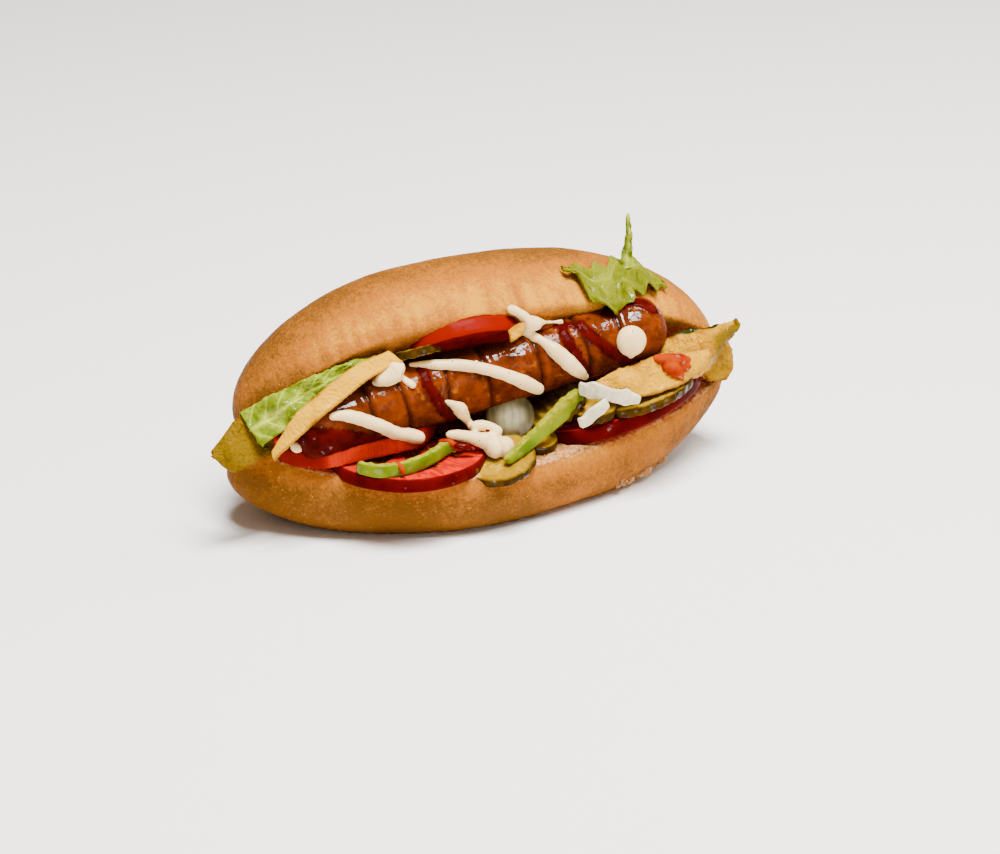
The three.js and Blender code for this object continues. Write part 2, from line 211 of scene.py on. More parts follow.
def new_mesh(name, points, faces, recalc=False):
    """A mesh in metres from points in mm; recalc turns all its faces outward."""
    mesh = bpy.data.meshes.new(name)
    mesh.from_pydata((points / METRE).tolist(), [], faces)
    if recalc:
        editable = bmesh.new()
        editable.from_mesh(mesh)
        bmesh.ops.recalc_face_normals(editable, faces=editable.faces)
        editable.to_mesh(mesh)
        editable.free()
    return mesh


def declared(name, mesh, replaced=()):
    """The smooth object of a mesh, riding on the hot dog's body and its solids."""
    mesh.polygons.foreach_set("use_smooth", [True] * len(mesh.polygons))
    piece = linked(name, mesh)
    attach(piece, "root")
    if replaced:
        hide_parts(*replaced)
    print(piece.name, len(mesh.polygons), "faces")


def finished(name, points, faces, material, replaced=(), attributes=None, recalc=True):
    """A piece from points in mm, placed in the frame, with values stored for its finish."""
    mesh = new_mesh(name, points + PLACE, faces, recalc)
    for label, values in (attributes or {}).items():
        values = np.asarray(values, dtype=float)
        if values.ndim == 0:
            values = np.full(len(points), values)
        kind, field = ("FLOAT", "value") if values.ndim == 1 else ("FLOAT_VECTOR", "vector")
        mesh.attributes.new(label, kind, "POINT").data.foreach_set(field, values.ravel())
    mesh.materials.append(material)
    declared(name, mesh, replaced)


def solid_of(name):
    """The solid that a piece stands for: the piece's name without its last word."""
    return [name.rpartition("_")[0]]


def evaluated(holder):
    """The mesh that an object's modifiers make. The object and its own mesh are removed."""
    made = bpy.data.meshes.new_from_object(holder.evaluated_get(bpy.context.evaluated_depsgraph_get()))
    source = holder.data
    bpy.data.objects.remove(holder)
    bpy.data.meshes.remove(source)
    return made


def points_of(mesh):
    """The points, in mm, and the faces of a mesh."""
    points = np.empty(len(mesh.vertices) * 3)
    mesh.vertices.foreach_get("co", points)
    return points.reshape(-1, 3) * METRE, [tuple(polygon.vertices) for polygon in mesh.polygons]


def remeshed(points, faces, voxel, smoothing):
    """Points and faces of one even skin round a closed surface, a little smoothed."""
    holder = linked("remesh", new_mesh("remesh", points, faces, recalc=True))
    voxels = holder.modifiers.new("voxels", "REMESH")
    voxels.mode, voxels.voxel_size = "VOXEL", voxel / METRE
    smooth = holder.modifiers.new("smooth", "SMOOTH")
    smooth.factor, smooth.iterations = 0.5, smoothing
    skin = evaluated(holder)
    made = points_of(skin)
    bpy.data.meshes.remove(skin)
    return made


def joined(parts):
    """One list of points and one of faces from several."""
    points, faces = [], []
    for part_points, part_faces in parts:
        shift = sum(len(p) for p in points)
        faces += [tuple(k + shift for k in face) for face in part_faces]
        points.append(part_points)
    return np.vstack(points), faces


# %% [markdown]
# ## Paths
# A string of sauce or a strip of pepper follows a smooth curve through a few points. The
# curve is read at even steps, with a sideways and an upward direction at each.


# %% Paths
SPAN_STEPS = 40
READINGS = 400


def read(table, where, stations=None):
    """Rows of a table of points, read between its rows."""
    stations = np.arange(len(table)) if stations is None else stations
    return np.column_stack([np.interp(where, stations, column) for column in table.T])


def distances(line):
    return np.append(0, np.cumsum(np.linalg.norm(np.diff(line, axis=0), axis=1)))


def even_steps(curve, steps):
    travelled = distances(curve)
    return read(curve, np.linspace(0, travelled[-1], steps), travelled)


def spline(points, steps):
    """A smooth curve through points, read at even distances."""
    p = np.array(points, dtype=float)
    p = np.vstack([2 * p[0] - p[1], p, 2 * p[-1] - p[-2]])
    curve = []
    for i in range(1, len(p) - 2):
        d0, d1, d2 = (max(np.linalg.norm(p[i + k] - p[i + k - 1]) ** 0.5, 1e-6) for k in (0, 1, 2))
        m1 = (p[i] - p[i - 1]) / d0 - (p[i + 1] - p[i - 1]) / (d0 + d1) + (p[i + 1] - p[i]) / d1
        m2 = (p[i + 1] - p[i]) / d1 - (p[i + 2] - p[i]) / (d1 + d2) + (p[i + 2] - p[i + 1]) / d2
        for t in np.linspace(0, 1, SPAN_STEPS, endpoint=i == len(p) - 3):
            curve.append(
                (2 * t**3 - 3 * t**2 + 1) * p[i] + (t**3 - 2 * t**2 + t) * m1 * d1
                + (-2 * t**3 + 3 * t**2) * p[i + 1] + (t**3 - t**2) * m2 * d1
            )
    return even_steps(np.array(curve), steps)


def eased_shares(steps):
    """Shares from 0 to 1, closer together near both ends."""
    return (1 - np.cos(np.linspace(0, np.pi, steps))) / 2


def eased(points, steps):
    """A smooth line through points, with its steps closer together near both ends."""
    return read(spline(points, READINGS), eased_shares(steps) * (READINGS - 1))


def path_frame(line):
    """Ahead, sideways and upward unit directions at each point of a line that runs roughly level."""
    ahead = unit(np.gradient(line, axis=0))
    side = unit(np.cross([0, 0, 1], ahead))
    return ahead, side, unit(np.cross(ahead, side))


# %% [markdown]
# ## Camera, floor and light
# The hot dog lies on a plain pale floor under soft studio light. A long lens looks down on it
# at 24 degrees from its left front.

# %% Camera and light
CAMERA_AT = np.array([-299.66, -766.66, 390.5])
CAMERA_TURN, CAMERA_DIP, FOCAL, SENSOR_WIDTH, FAR_CLIP = -22, 24, 91.08, 36, 20
WARM_GREY, WORLD_STRENGTH = (1, 0.8, 0.6, 1), 0.22

camera_data = bpy.data.cameras.new("camera")
camera_data.lens, camera_data.sensor_width, camera_data.clip_end = FOCAL, SENSOR_WIDTH, FAR_CLIP
camera = linked("camera", camera_data)
camera.location = (CAMERA_AT + PLACE) / METRE
camera.rotation_euler = (math.radians(90 - CAMERA_DIP), 0, math.radians(CAMERA_TURN))
bpy.context.scene.camera = camera


def softbox(name, at, towards, size, power):
    data = bpy.data.lights.new(name, "AREA")
    data.shape, data.size, data.size_y, data.energy = "RECTANGLE", size[0], size[1], power
    light = linked(name, data)
    light.location = at
    light.rotation_euler = (Vector(towards) - Vector(at)).to_track_quat("-Z", "Y").to_euler()
    print(name, power, "W")


softbox("window", (1.0, 0.15, 0.75), (0, 0, 0.04), (0.8, 0.6), 7)
softbox("overhead", (0.05, -0.25, 1.3), (0, 0, 0.04), (0.55, 0.4), 56)
softbox("glint", (0.22, -0.52, 1.08), (0, 0, 0.05), (0.3, 0.24), 9)
softbox("front fill", (0.5, -1.3, 0.5), (0, 0, 0.05), (1.0, 0.6), 4)

world = bpy.data.worlds.new("studio")
world.use_nodes = True
background = world.node_tree.nodes["Background"].inputs
background["Color"].default_value, background["Strength"].default_value = WARM_GREY, WORLD_STRENGTH
bpy.context.scene.world = world

# %% [markdown]
# ## Effects that several finishes share
# Every food here has patches, fine pores and a wet or oily film, each at its own scale. Each
# effect is one shader group that reads the piece's own coordinates; a finish places the group
# and sets its numbers.


# %% Node helpers
def linear(hex_colour):
    """A colour as written on screen, turned into the light values that a shader takes."""
    parts = [int(hex_colour[i:i + 2], 16) / 255 for i in (1, 3, 5)]
    return tuple(c / 12.92 if c <= 0.04045 else ((c + 0.055) / 1.055) ** 2.4 for c in parts) + (1.0,)


def put(tree, kind, links=None, **settings):
    """A new node. Numbers, colours as written on screen and sockets go to its inputs."""
    made = tree.nodes.new(kind)
    for key, value in settings.items():
        setattr(made, key, value)
    for key, value in (links or {}).items():
        if isinstance(value, bpy.types.NodeSocket):
            tree.links.new(value, made.inputs[key])
        elif isinstance(value, str) and value.startswith("#"):
            made.inputs[key].default_value = linear(value)
        else:
            made.inputs[key].default_value = value
    return made


def math_node(tree, operation, a, b):
    return put(tree, "ShaderNodeMath", {0: a, 1: b}, operation=operation).outputs[0]


def vector_node(tree, operation, a, b=None, **links):
    given = {0: a, **links} if b is None else {0: a, 1: b}
    return put(tree, "ShaderNodeVectorMath", given, operation=operation).outputs[0]


def span(tree, value, low, high, to_low=0.0, to_high=1.0):
    ranges = {0: value, 1: low, 2: high, 3: to_low, 4: to_high}
    return put(tree, "ShaderNodeMapRange", ranges, interpolation_type="SMOOTHSTEP").outputs[0]


def new_group(name, inputs, output):
    tree = bpy.data.node_groups.new(name, "ShaderNodeTree")
    for label, default in inputs.items():
        socket = tree.interface.new_socket(label, in_out="INPUT", socket_type="NodeSocketFloat")
        socket.default_value = default
    tree.interface.new_socket(output, in_out="OUTPUT", socket_type="NodeSocketFloat")
    return tree, tree.nodes.new("NodeGroupInput").outputs, tree.nodes.new("NodeGroupOutput").inputs[0]


def object_place(tree, size):
    """The piece's own coordinates, and the scale of a texture whose cells are size mm wide."""
    return put(tree, "ShaderNodeTexCoord").outputs["Object"], math_node(tree, "DIVIDE", METRE, size)


# %% [markdown]
# **Patches** are slow changes of colour, **pores** are small round dips, **grain** is a fine
# crinkle, and **spokes** are patches drawn out from a slice's middle, as in the flesh of fruit.

# %% Shared effects
def patches_group():
    tree, given, out = new_group("patches", {"Size": 10.0, "Low": 0.4, "High": 0.6, "Seed": 0.0}, "Mask")
    place, scale = object_place(tree, given["Size"])
    looks = {"Vector": place, "W": given["Seed"], "Scale": scale, "Detail": 3.0}
    cloud = put(tree, "ShaderNodeTexNoise", looks, noise_dimensions="4D")
    tree.links.new(span(tree, cloud.outputs["Fac"], given["Low"], given["High"]), out)
    return tree


def pores_group():
    tree, given, out = new_group("pores", {"Size": 1.5, "Depth": 1.0}, "Height")
    place, scale = object_place(tree, given["Size"])
    warp = put(tree, "ShaderNodeTexNoise", {"Vector": place, "Scale": scale, "Detail": 2.0}).outputs["Color"]
    moved = vector_node(tree, "ADD", place, vector_node(tree, "SCALE", warp, Scale=0.0006))
    cells = put(tree, "ShaderNodeTexVoronoi", {"Vector": moved, "Scale": scale}, feature="SMOOTH_F1")
    dip = span(tree, cells.outputs["Distance"], 0.0, 0.6)
    tree.links.new(math_node(tree, "MULTIPLY", dip, given["Depth"]), out)
    return tree


def grain_group():
    tree, given, out = new_group("grain", {"Size": 1.0, "Depth": 1.0}, "Height")
    place, scale = object_place(tree, given["Size"])
    looks = {"Vector": place, "Scale": scale, "Detail": 4.0, "Roughness": 0.6}
    cloud = put(tree, "ShaderNodeTexNoise", looks)
    tree.links.new(math_node(tree, "MULTIPLY", cloud.outputs["Fac"], given["Depth"]), out)
    return tree


def spokes_group():
    tree, given, out = new_group("spokes", {"Density": 9.0, "Drift": 0.2, "Low": 0.4, "High": 0.6}, "Mask")
    local = put(tree, "ShaderNodeAttribute", attribute_name="local").outputs["Vector"]
    flat = vector_node(tree, "MULTIPLY", local, (1, 1, 0))
    wide = vector_node(tree, "SCALE", vector_node(tree, "NORMALIZE", flat), Scale=given["Density"])
    far = put(tree, "ShaderNodeVectorMath", {0: flat}, operation="LENGTH").outputs["Value"]
    drift = math_node(tree, "MULTIPLY", far, given["Drift"])
    up = put(tree, "ShaderNodeCombineXYZ", {"Z": drift}).outputs[0]
    looks = {"Vector": vector_node(tree, "ADD", wide, up), "Scale": 1.0, "Detail": 3.0}
    cloud = put(tree, "ShaderNodeTexNoise", looks)
    tree.links.new(span(tree, cloud.outputs["Fac"], given["Low"], given["High"]), out)
    return tree


PATCHES, PORES, GRAIN, SPOKES = patches_group(), pores_group(), grain_group(), spokes_group()
print("shared effects:", [group.name for group in (PATCHES, PORES, GRAIN, SPOKES)])


# %% [markdown]
# A finish is written as a recipe and built from it. Its colours lie in layers, and each layer
# shows through a mask: a value stored on the mesh, patches of some size, or an effect.


# %% Recipes
def effect(group, **values):
    """A recipe for a shared effect with its own numbers."""
    def build(tree):
        placed = tree.nodes.new("ShaderNodeGroup")
        placed.node_tree = group
        for label, value in values.items():
            placed.inputs[label.capitalize()].default_value = value
        return placed.outputs[0]

    return build


def patches(size, low, high, seed=0.0):
    return effect(PATCHES, size=size, low=low, high=high, seed=seed)


def pores(size, depth):
    return effect(PORES, size=size, depth=depth)


def grain(size, depth):
    return effect(GRAIN, size=size, depth=depth)


def spokes(density, drift=0.2, low=0.4, high=0.6):
    return effect(SPOKES, density=density, drift=drift, low=low, high=high)


def mask_of(tree, source):
    """Builds a mask from the name of a stored value, the numbers of patches, or a recipe."""
    if isinstance(source, str):
        return put(tree, "ShaderNodeAttribute", attribute_name=source).outputs["Fac"]
    if isinstance(source, tuple):
        source = patches(*source)
    return source(tree) if callable(source) else source


def combined(operation, first, *others):
    def build(tree):
        whole = mask_of(tree, first)
        for other in others:
            whole = math_node(tree, operation, whole, mask_of(tree, other))
        return whole

    return build


def total(*sources):
    return combined("ADD", *sources)


def product(*sources):
    return combined("MULTIPLY", *sources)


def ranged(source, low, high, to_low=0.0, to_high=1.0):
    return lambda tree: span(tree, mask_of(tree, source), low, high, to_low, to_high)


def vary(source, at_low, at_high):
    """From at_low to at_high where the mask goes from 0 to 1."""
    return ranged(source, 0, 1, at_low, at_high)


def layers(tree, item):
    """A colour from its name, a recipe, or a list: the lowest item, then each (mask, item) on it."""
    if not isinstance(item, list):
        return item if isinstance(item, str) else mask_of(tree, item)
    colour = layers(tree, item[0])
    for source, over in item[1:]:
        looks = {0: mask_of(tree, source), 6: colour, 7: layers(tree, over)}
        colour = put(tree, "ShaderNodeMix", looks, data_type="RGBA").outputs[2]
    return colour


# %% Finishes
def new_finish(name, **even):
    """A material and its shader, with even values set on the shader itself."""
    material = bpy.data.materials.new(name)
    material.use_nodes = True
    shader = material.node_tree.nodes["Principled BSDF"]
    for label, value in even.items():
        shader.inputs[label.replace("_", " ").title().replace("Ior", "IOR")].default_value = value
    print("finish:", name)
    return material, shader


def finish(name, colour, rough=None, coat=None, height=None, depth_mm=0.0, **even):
    """A finish from recipes. The height, from 0 to 1, stands for depth_mm of relief."""
    material, shader = new_finish(name, **even)
    tree = material.node_tree
    for label, recipe in (("Base Color", colour), ("Roughness", rough), ("Coat Weight", coat)):
        if recipe:
            tree.links.new(layers(tree, recipe), shader.inputs[label])
    if height:
        looks = {"Height": mask_of(tree, height), "Strength": 1.0, "Distance": depth_mm / METRE}
        tree.links.new(put(tree, "ShaderNodeBump", looks).outputs[0], shader.inputs["Normal"])
    return material


# %% [markdown]
# ## Bread
# A soft roll browns where the oven's heat meets it first. The mesh stores how brown each
# point is, with painted shade added to the same value on the heel and the crown's left lip,
# and where the knife has opened the pale crumb; the finish adds patches, the fine wrinkles
# of thin crust, and the open pores of the crumb.

# %% Bread
SPOTS = [((18, 0.3, 0.7), 0.24), ((2.6, 0.35, 0.65, 3), 0.12), ((1.0, 0.35, 0.65, 7), 0.2)]
# Browning and painted shade stored on the mesh, plus patches of browning.
BAKE = total("baked", *(product(numbers, share) for numbers, share in SPOTS), -0.22)


def by_crumb(crust, crumb):
    """The crust's height where the skin is whole and the crumb's where it is open."""
    return lambda tree: put(
        tree, "ShaderNodeMix", {0: mask_of(tree, "crumb"), 2: mask_of(tree, crust), 3: mask_of(tree, crumb)}
    ).outputs[0]


# The two darker browns follow that stored value, so they also carry its painted shade.
BREAD = finish(
    "bread",
    [
        "#c8851a", (ranged(BAKE, 0.0, 0.5), "#a45e16"), (ranged(BAKE, 0.42, 1.0), "#683f12"),
        ((0.7, 0.65, 0.75, 11), "#d09838"), ("crumb", ["#cc9460", ((1.6, 0.42, 0.62, 2), "#a8682c")]),
    ],
    combined("MAXIMUM", vary((5, 0.3, 0.7, 5), 0.4, 0.58), product("crumb", 0.9)), None,
    by_crumb(total(grain(2.4, 0.45), grain(0.9, 0.5)), total(pores(1.7, 0.9), grain(0.8, 0.8))), 0.9,
    specular_ior_level=0.02,
)

# %% [markdown]
# ## The roll
# Each half is a closed surface from the rule above. A voxel remesh joins them at the hinge
# into one skin of even faces, which then takes slow dents, the soft streaks of stretched
# crust beside the lip, and a torn, crumbly cut.


# %% Places on the roll
ROLL_GRID, ROLL_VOXEL, ROLL_SMOOTHING = (150, 170), 1.05, 4


def station(half, x):
    """The station of an x along one half of the roll: -1 at its left tip and 1 at its right."""
    return 2 * (x - half["left"]) / (half["right"] - half["left"]) - 1


def in_closed_crown(points):
    """Station, depth from the hinge and height of points, with the crown swung shut again."""
    s = station(CROWN, points[:, 0])
    angle = opening_angle(np.clip(s, -1, 1))
    inward, above = OPENING["hinge_y"] - points[:, 1], points[:, 2] - OPENING["hinge_z"]
    return s, inward * np.cos(angle) + above * np.sin(angle), above * np.cos(angle) - inward * np.sin(angle)


def lip_reach(s):
    """How far the crown's lip is from the hinge at station s, with the crown shut."""
    middle, half_width = plan(CROWN, np.clip(s, -0.999, 0.999))
    return OPENING["hinge_y"] - (middle - half_width)


def whole_crown(u, v):
    return crown_surface(-np.cos(np.pi * v), 2 * np.pi * u)


# %% The roll
def roll():
    halves = [closed_grid(surface, *ROLL_GRID) for surface in (heel_surface, whole_crown)]
    points, faces = remeshed(*joined(halves), ROLL_VOXEL, ROLL_SMOOTHING)
    normals = point_normals(points, faces)
    x, y, z = points.T
    s, reach, height = in_closed_crown(points)
    below_cut = cut_height(station(HEEL, x), y) - z
    on_crown = ramp(-below_cut, -0.5, 1.0)
    dome = np.clip(height / CROWN["thickness"], 0, 1)

    ragged = uneven(points, 5, 3, 4.0)
    under = lip_reach(s) - reach + 1.5 * ragged
    crown_crumb = ramp(-height, 2.4, 3.6) * ramp(under, 5, 9) * ramp(reach, 3, 8)
    heel_crumb = ramp(normals[:, 2], 0.55, 0.85) * ramp(1.3 - below_cut + 0.5 * ragged, 0.0, 0.9)
    crumb = lerp(heel_crumb, crown_crumb, on_crown)

    streak = uneven(np.column_stack([x, 0.12 * reach, 0.12 * height]), 5, 3, 8.0)
    near_lip = on_crown * ramp(0.5 - dome, 0.0, 0.4) * ramp(reach, 35, 60)
    moved = 0.6 * uneven(points, 34, 2, 1.0) + 0.8 * streak * near_lip
    moved = moved + 0.1 * uneven(points, 3.0, 3, 6.0) + crumb * 0.55 * uneven(points, 2.2, 2, 9.0)
    low_edge = ramp(3.0 - z, 0, 2.5) * (1 - on_crown)
    moved = moved * (1 - ramp(0.6 - z, 0, 0.5)) + 0.5 * low_edge * ragged
    points = points + normals * moved[:, None]
    points[:, 2] = np.maximum(points[:, 2], 0)

    x, y, z = points.T
    crown_bake = 0.1 + 0.62 * ramp(dome, 0.12, 0.8) + 0.26 * ramp(-x, 30, 75)
    crown_bake += 0.4 * near_lip * streak + 0.1 * ramp(x, 50, 80) + 0.25 * ramp(-height, 0.5, 3.0)
    # Painted shade: the crown's lip is darker on the left, where it hangs over the filling.
    crown_bake += 0.3 * ramp(0.22 - dome, 0, 0.2) * ramp(-x, -10, 40)
    crown_bake += 0.25 * ramp(np.abs(s), 0.75, 1.0)
    # Painted shade mixed with browning: the heel starts much darker than the crown, is lighter towards the
    # right, and darkens towards its foot, as its front faces down, away from the light.
    heel_bake = 0.84 - 0.22 * ramp(x, 10, 70) - 0.1 * ramp(uneven(points, 20, 2, 12.0), 0.1, 0.6)
    heel_bake += 0.12 * ramp(14 - z, 0, 14) - 0.3 * ramp(9 - below_cut, 0, 8)
    heel_bake += 0.25 * ramp(x, 62, 88) - 0.2 * np.exp(-(((x - 25) / 22) ** 2))
    masks = {"crumb": crumb, "baked": lerp(heel_bake, crown_bake, on_crown)}
    finished("roll", points, faces, BREAD, ["bun"], masks, recalc=False)


roll()

# %% [markdown]
# ## Stage
# A plain pale floor.

# %% Floor
FLOOR_HALF = 4000.0

floor_corners = FLOOR_HALF * np.array([(-1, -1, 0), (1, -1, 0), (1, 1, 0), (-1, 1, 0)])
floor_mesh = new_mesh("floor", floor_corners, [(0, 1, 2, 3)])
floor_finish, floor_shader = new_finish("floor", roughness=0.7, specular_ior_level=0.2)
floor_shader.inputs["Base Color"].default_value = linear("#fbf8f2")
floor_mesh.materials.append(floor_finish)
linked("floor", floor_mesh)

# %% [markdown]
# ## Sausage
# Where a place on the sausage is needed, it is given by t, from 0 at its left end to 1 at its
# right, and by a turn in degrees: 0 faces the open side and 90 is on top.


# %% Places on the sausage
MEAT_LENGTH, MEAT_RADIUS = SAUSAGE["length"], SAUSAGE["radius"]
MM_PER_DEGREE = math.radians(1) * MEAT_RADIUS


def meat_line():
    t = np.linspace(0, 1, READINGS)[:, None]
    a, b, c = (np.array(SAUSAGE[key], dtype=float) for key in ("start", "bend", "end"))
    return even_steps((1 - t) ** 2 * a + 2 * t * (1 - t) * b + t**2 * c, READINGS)


MEAT_LINE = meat_line()
MEAT_AHEAD, MEAT_SIDE, MEAT_UP = path_frame(MEAT_LINE)


def along_meat(table, t):
    return read(table, np.clip(t, 0, 1) * (READINGS - 1))


def on_sausage(t, turn, lift=0.0, radius=MEAT_RADIUS):
    t, turn = np.atleast_1d(np.asarray(t, dtype=float)), np.radians(np.atleast_1d(turn))
    out = radius + lift
    side, up, ahead = (along_meat(table, t) for table in (MEAT_SIDE, MEAT_UP, MEAT_AHEAD))
    beyond = (t - np.clip(t, 0, 1)) * MEAT_LENGTH
    around = up * (out * np.sin(turn))[:, None] - side * (out * np.cos(turn))[:, None]
    return along_meat(MEAT_LINE, t) + around + ahead * beyond[:, None]


def stroke_distance(t, turn, stations):
    """How far, in mm over the skin, each place is from a line drawn through stations."""
    here = np.column_stack([t * MEAT_LENGTH, turn * MM_PER_DEGREE])
    line = np.array(stations, dtype=float) * [MEAT_LENGTH, MM_PER_DEGREE]
    nearest = np.full(len(here), 1e9)
    for a, b in zip(line[:-1], line[1:]):
        share = np.clip(((here - a) @ (b - a)) / max((b - a) @ (b - a), TINY), 0, 1)
        nearest = np.minimum(nearest, np.linalg.norm(here - a - share[:, None] * (b - a), axis=1))
    return nearest


print("sausage:", MEAT_LENGTH, "mm along a line of", READINGS, "readings")

# %% [markdown]
# The skin is scored across, and each cut opened on the grill. Ketchup runs over the skin in
# strokes: it is a smooth raised film, so it is made as relief in the same mesh, with a mask
# that the finish reads. The wide strokes on the lower left end and along the upper back lie
# where the sausage is in shade, and the finish colours all strokes dark, so they are partly
# painted shade. Another mask keeps the oily gloss to a few places.

# %% The sausage's skin
SCORES = [0.195, 0.283, 0.396, 0.506, 0.644, 0.759, 0.86]
# The last two strokes, on the lower left end, and the wide one along the upper back lie where the sausage is
# in shade: they are partly ketchup and partly painted shade.
KETCHUP_STROKES = [
    (2.1, [(0.371, 93), (0.352, 66), (0.35, 30), (0.368, -5), (0.4, -45)]),
    (2.2, [(0.727, 75), (0.719, 54), (0.722, 30), (0.732, 6), (0.749, -22), (0.764, -45)]),
    (2.4, [(0.767, 58), (0.787, 32), (0.805, 16), (0.83, -2), (0.868, -26)]),
    (1.8, [(0.712, 70), (0.747, 66), (0.777, 52)]),
    (2.8, [(0.85, 69), (0.885, 77), (0.915, 81), (0.942, 73), (0.96, 56)]),
    (0.9, [(0.877, -22), (0.9, -36), (0.93, -40)]),
    (4.5, [(0.6, 118), (0.68, 116), (0.76, 118)]),
    (5.2, [(0.0, 10), (0.05, 2), (0.1, -14), (0.15, -28), (0.2, -46)]),
    (5.0, [(0.0, -30), (0.07, -34), (0.13, -50)]),
]
SHINY_PLACES = [(0.168, 42), (0.37, 32), (0.505, 46), (0.597, 37), (0.882, 49), (0.97, 60)]
SKIN_GRID = (132, 300)
SCORE_WIDTH, SCORE_DEPTH, SCORE_SWELLING = 0.75, 0.8, 0.4
SHINE_ALONG, SHINE_ACROSS, SHINE_ELSEWHERE = 5.5, 3.6, 0.25


def bell(distance, width):
    return np.exp(-((distance / width) ** 2))


def ketchup_depth(t, turn, wander):
    depth = np.zeros(len(t))
    for width, stations in KETCHUP_STROKES:
        inside = width + 0.55 * wander - stroke_distance(t, turn, stations)
        depth = np.maximum(depth, ramp(inside, -0.35, 0.9) * min(0.35 + 0.12 * width, 0.8))
    return depth


def scored(t, turn, wander, swollen):
    """How deep each place lies in a score, and how far the skin stands out with the scores' lips."""
    cut = np.zeros(len(t))
    for k, score in enumerate(SCORES):
        lean = 0.010 * math.sin(2.1 * k + 0.4) * np.cos(np.radians(turn + 40 * k))
        offset = (t - score - lean) * MEAT_LENGTH + 0.35 * wander
        fade = ramp(np.sin(np.radians(turn + 30)), -0.5, 0.1)
        cut = np.maximum(cut, bell(offset, SCORE_WIDTH) * fade)
        lips = bell(np.abs(offset) - 2.0, 1.5) - 0.4 * bell(offset, 6)
        swollen = swollen + SCORE_SWELLING * fade * lips
    return cut, swollen


def shine(t, turn):
    glossy = SHINE_ELSEWHERE * ramp(np.sin(np.radians(turn)), 0.15, 0.5)
    for place, angle in SHINY_PLACES:
        along, across = (t - place) * MEAT_LENGTH, (turn - angle) * MM_PER_DEGREE
        glossy = np.maximum(glossy, bell(along, SHINE_ALONG) * bell(across, SHINE_ACROSS))
    return glossy


def sausage():
    u, v = grid_uv(*SKIN_GRID)
    reach = -np.cos(np.pi * v)
    turn, t = np.where(360 * u > 180, 360 * u - 360, 360 * u), (reach + 1) / 2
    half = MEAT_LENGTH / 2
    cap = np.clip((np.abs(reach) * half - (half - MEAT_RADIUS)) / MEAT_RADIUS, 0, 1)
    width = MEAT_RADIUS * np.maximum(0, 1 - cap**2.2) ** 0.5
    base = on_sausage(t, turn, radius=width)
    wander = uneven(base, 4.0, 3, 2.0)
    lumps = 0.35 * uneven(base, 26, 2, 5.0) + 0.16 * uneven(base, 4.5, 3, 3.0)
    cut, swollen = scored(t, turn, wander, lumps)
    sauce = ketchup_depth(t, turn, wander)
    covered = ramp(sauce, 0.1, 0.5)
    lift = swollen * (1 - 0.5 * sauce) - SCORE_DEPTH * cut * (1 - 0.75 * covered) + sauce
    scale = np.minimum(1, width / (0.4 * MEAT_RADIUS))
    points = on_sausage(t, turn, lift * scale, radius=width)
    points += along_meat(MEAT_AHEAD, t) * (1.6 * bell(half * (1 + reach), 3.2))[:, None]
    masks = {"ketchup": ramp(sauce, 0.06, 0.22), "cut": cut * (1 - covered), "shine": shine(t, turn)}
    finished("sausage_skin", points, grid_faces(*SKIN_GRID), SAUSAGE_SKIN, ["sausage"], masks)


# %% [markdown]
# The finish is a mottled red-brown skin with a hard gloss. Its fine wrinkles break the
# highlights up. Ketchup covers it with a smooth red, painted much darker than the dripped
# ketchup: partly the sauce's colour and partly painted shade.

# %% Sausage finish
DRY = combined("SUBTRACT", 1.0, "ketchup")
SAUSAGE_SKIN = finish(
    "sausage skin",
    [
        "#481802", ((7, 0.35, 0.65), "#6e2b03"), ((2.4, 0.52, 0.8, 4), "#3c1202"),
        ((3.2, 0.58, 0.75, 9), "#8c4608"), ("cut", "#2c0d03"),
        # Ketchup on the skin, painted darker than the sauce itself, as shade.
        ("ketchup", ["#2c0100", ((4, 0.3, 0.7, 6), "#4a0400")]),
    ],
    total(product(vary((2.5, 0.3, 0.7, 1), 0.2, 0.42), DRY), product("ketchup", 0.1)),
    [product((1.1, 0.4, 0.5, 13), "shine"), ("ketchup", vary((2.2, 0.64, 0.7, 14), 0.0, 0.7))],
    product(total(grain(1.6, 0.9), grain(0.6, 0.3)), DRY), 0.6,
    specular_ior_level=0.01, coat_roughness=0.08,
)
sausage()

# %% [markdown]
# ## Mayonnaise
# The mayonnaise was squeezed out in strings, which lie on the skin, half sunk, and end in
# blobs. Strings that touch flow together, so all tubes are remeshed into one skin.


# %% Tubes
def tube(line, wide, high, power=2.0, around=18, frame_of=None):
    """A closed tube with round ends round a line; wide and high are half sizes along it."""
    side, up = frame_of if frame_of else path_frame(line)[1:]
    wide, high = np.broadcast_to(wide, len(line)), np.broadcast_to(high, len(line))
    run = distances(line)
    from_end = np.minimum(run, run[-1] - run)
    round_off = np.sqrt(1 - (1 - np.clip(from_end / np.maximum(wide, 1e-6), 0, 1)) ** 2)
    angles = 2 * np.pi * np.arange(around) / around
    rings = line[1:-1, None]
    for way, size, wave in ((side, wide, np.cos(angles)), (up, high, np.sin(angles))):
        half = (round_off * size)[1:-1, None, None]
        rings = rings + way[1:-1, None] * half * squared(wave, power)[None, :, None]
    return np.vstack([rings.reshape(-1, 3), line[:1], line[-1:]]), grid_faces(around, len(line) - 1)


def string(points, *widths, steps=60, flat=1.0):
    """A squeezed string of sauce through points; its widths are met at even steps along it."""
    share = eased_shares(steps)
    half = np.interp(share, np.linspace(0, 1, len(widths)), widths) / 2
    half = half * (1 + 0.03 * np.sin(9 * share * len(points) + widths[0]))
    return tube(eased(points, steps), half, half * flat)


def flowed(name, parts, voxel, smoothing, material, replaced=(), wobble=0.1):
    """Parts run together into one smooth skin."""
    points, faces = remeshed(*joined(parts), voxel, smoothing)
    points = points + point_normals(points, faces) * (wobble * uneven(points, 5, 2, 3.0))[:, None]
    finished(name, points, faces, material, replaced, recalc=False)


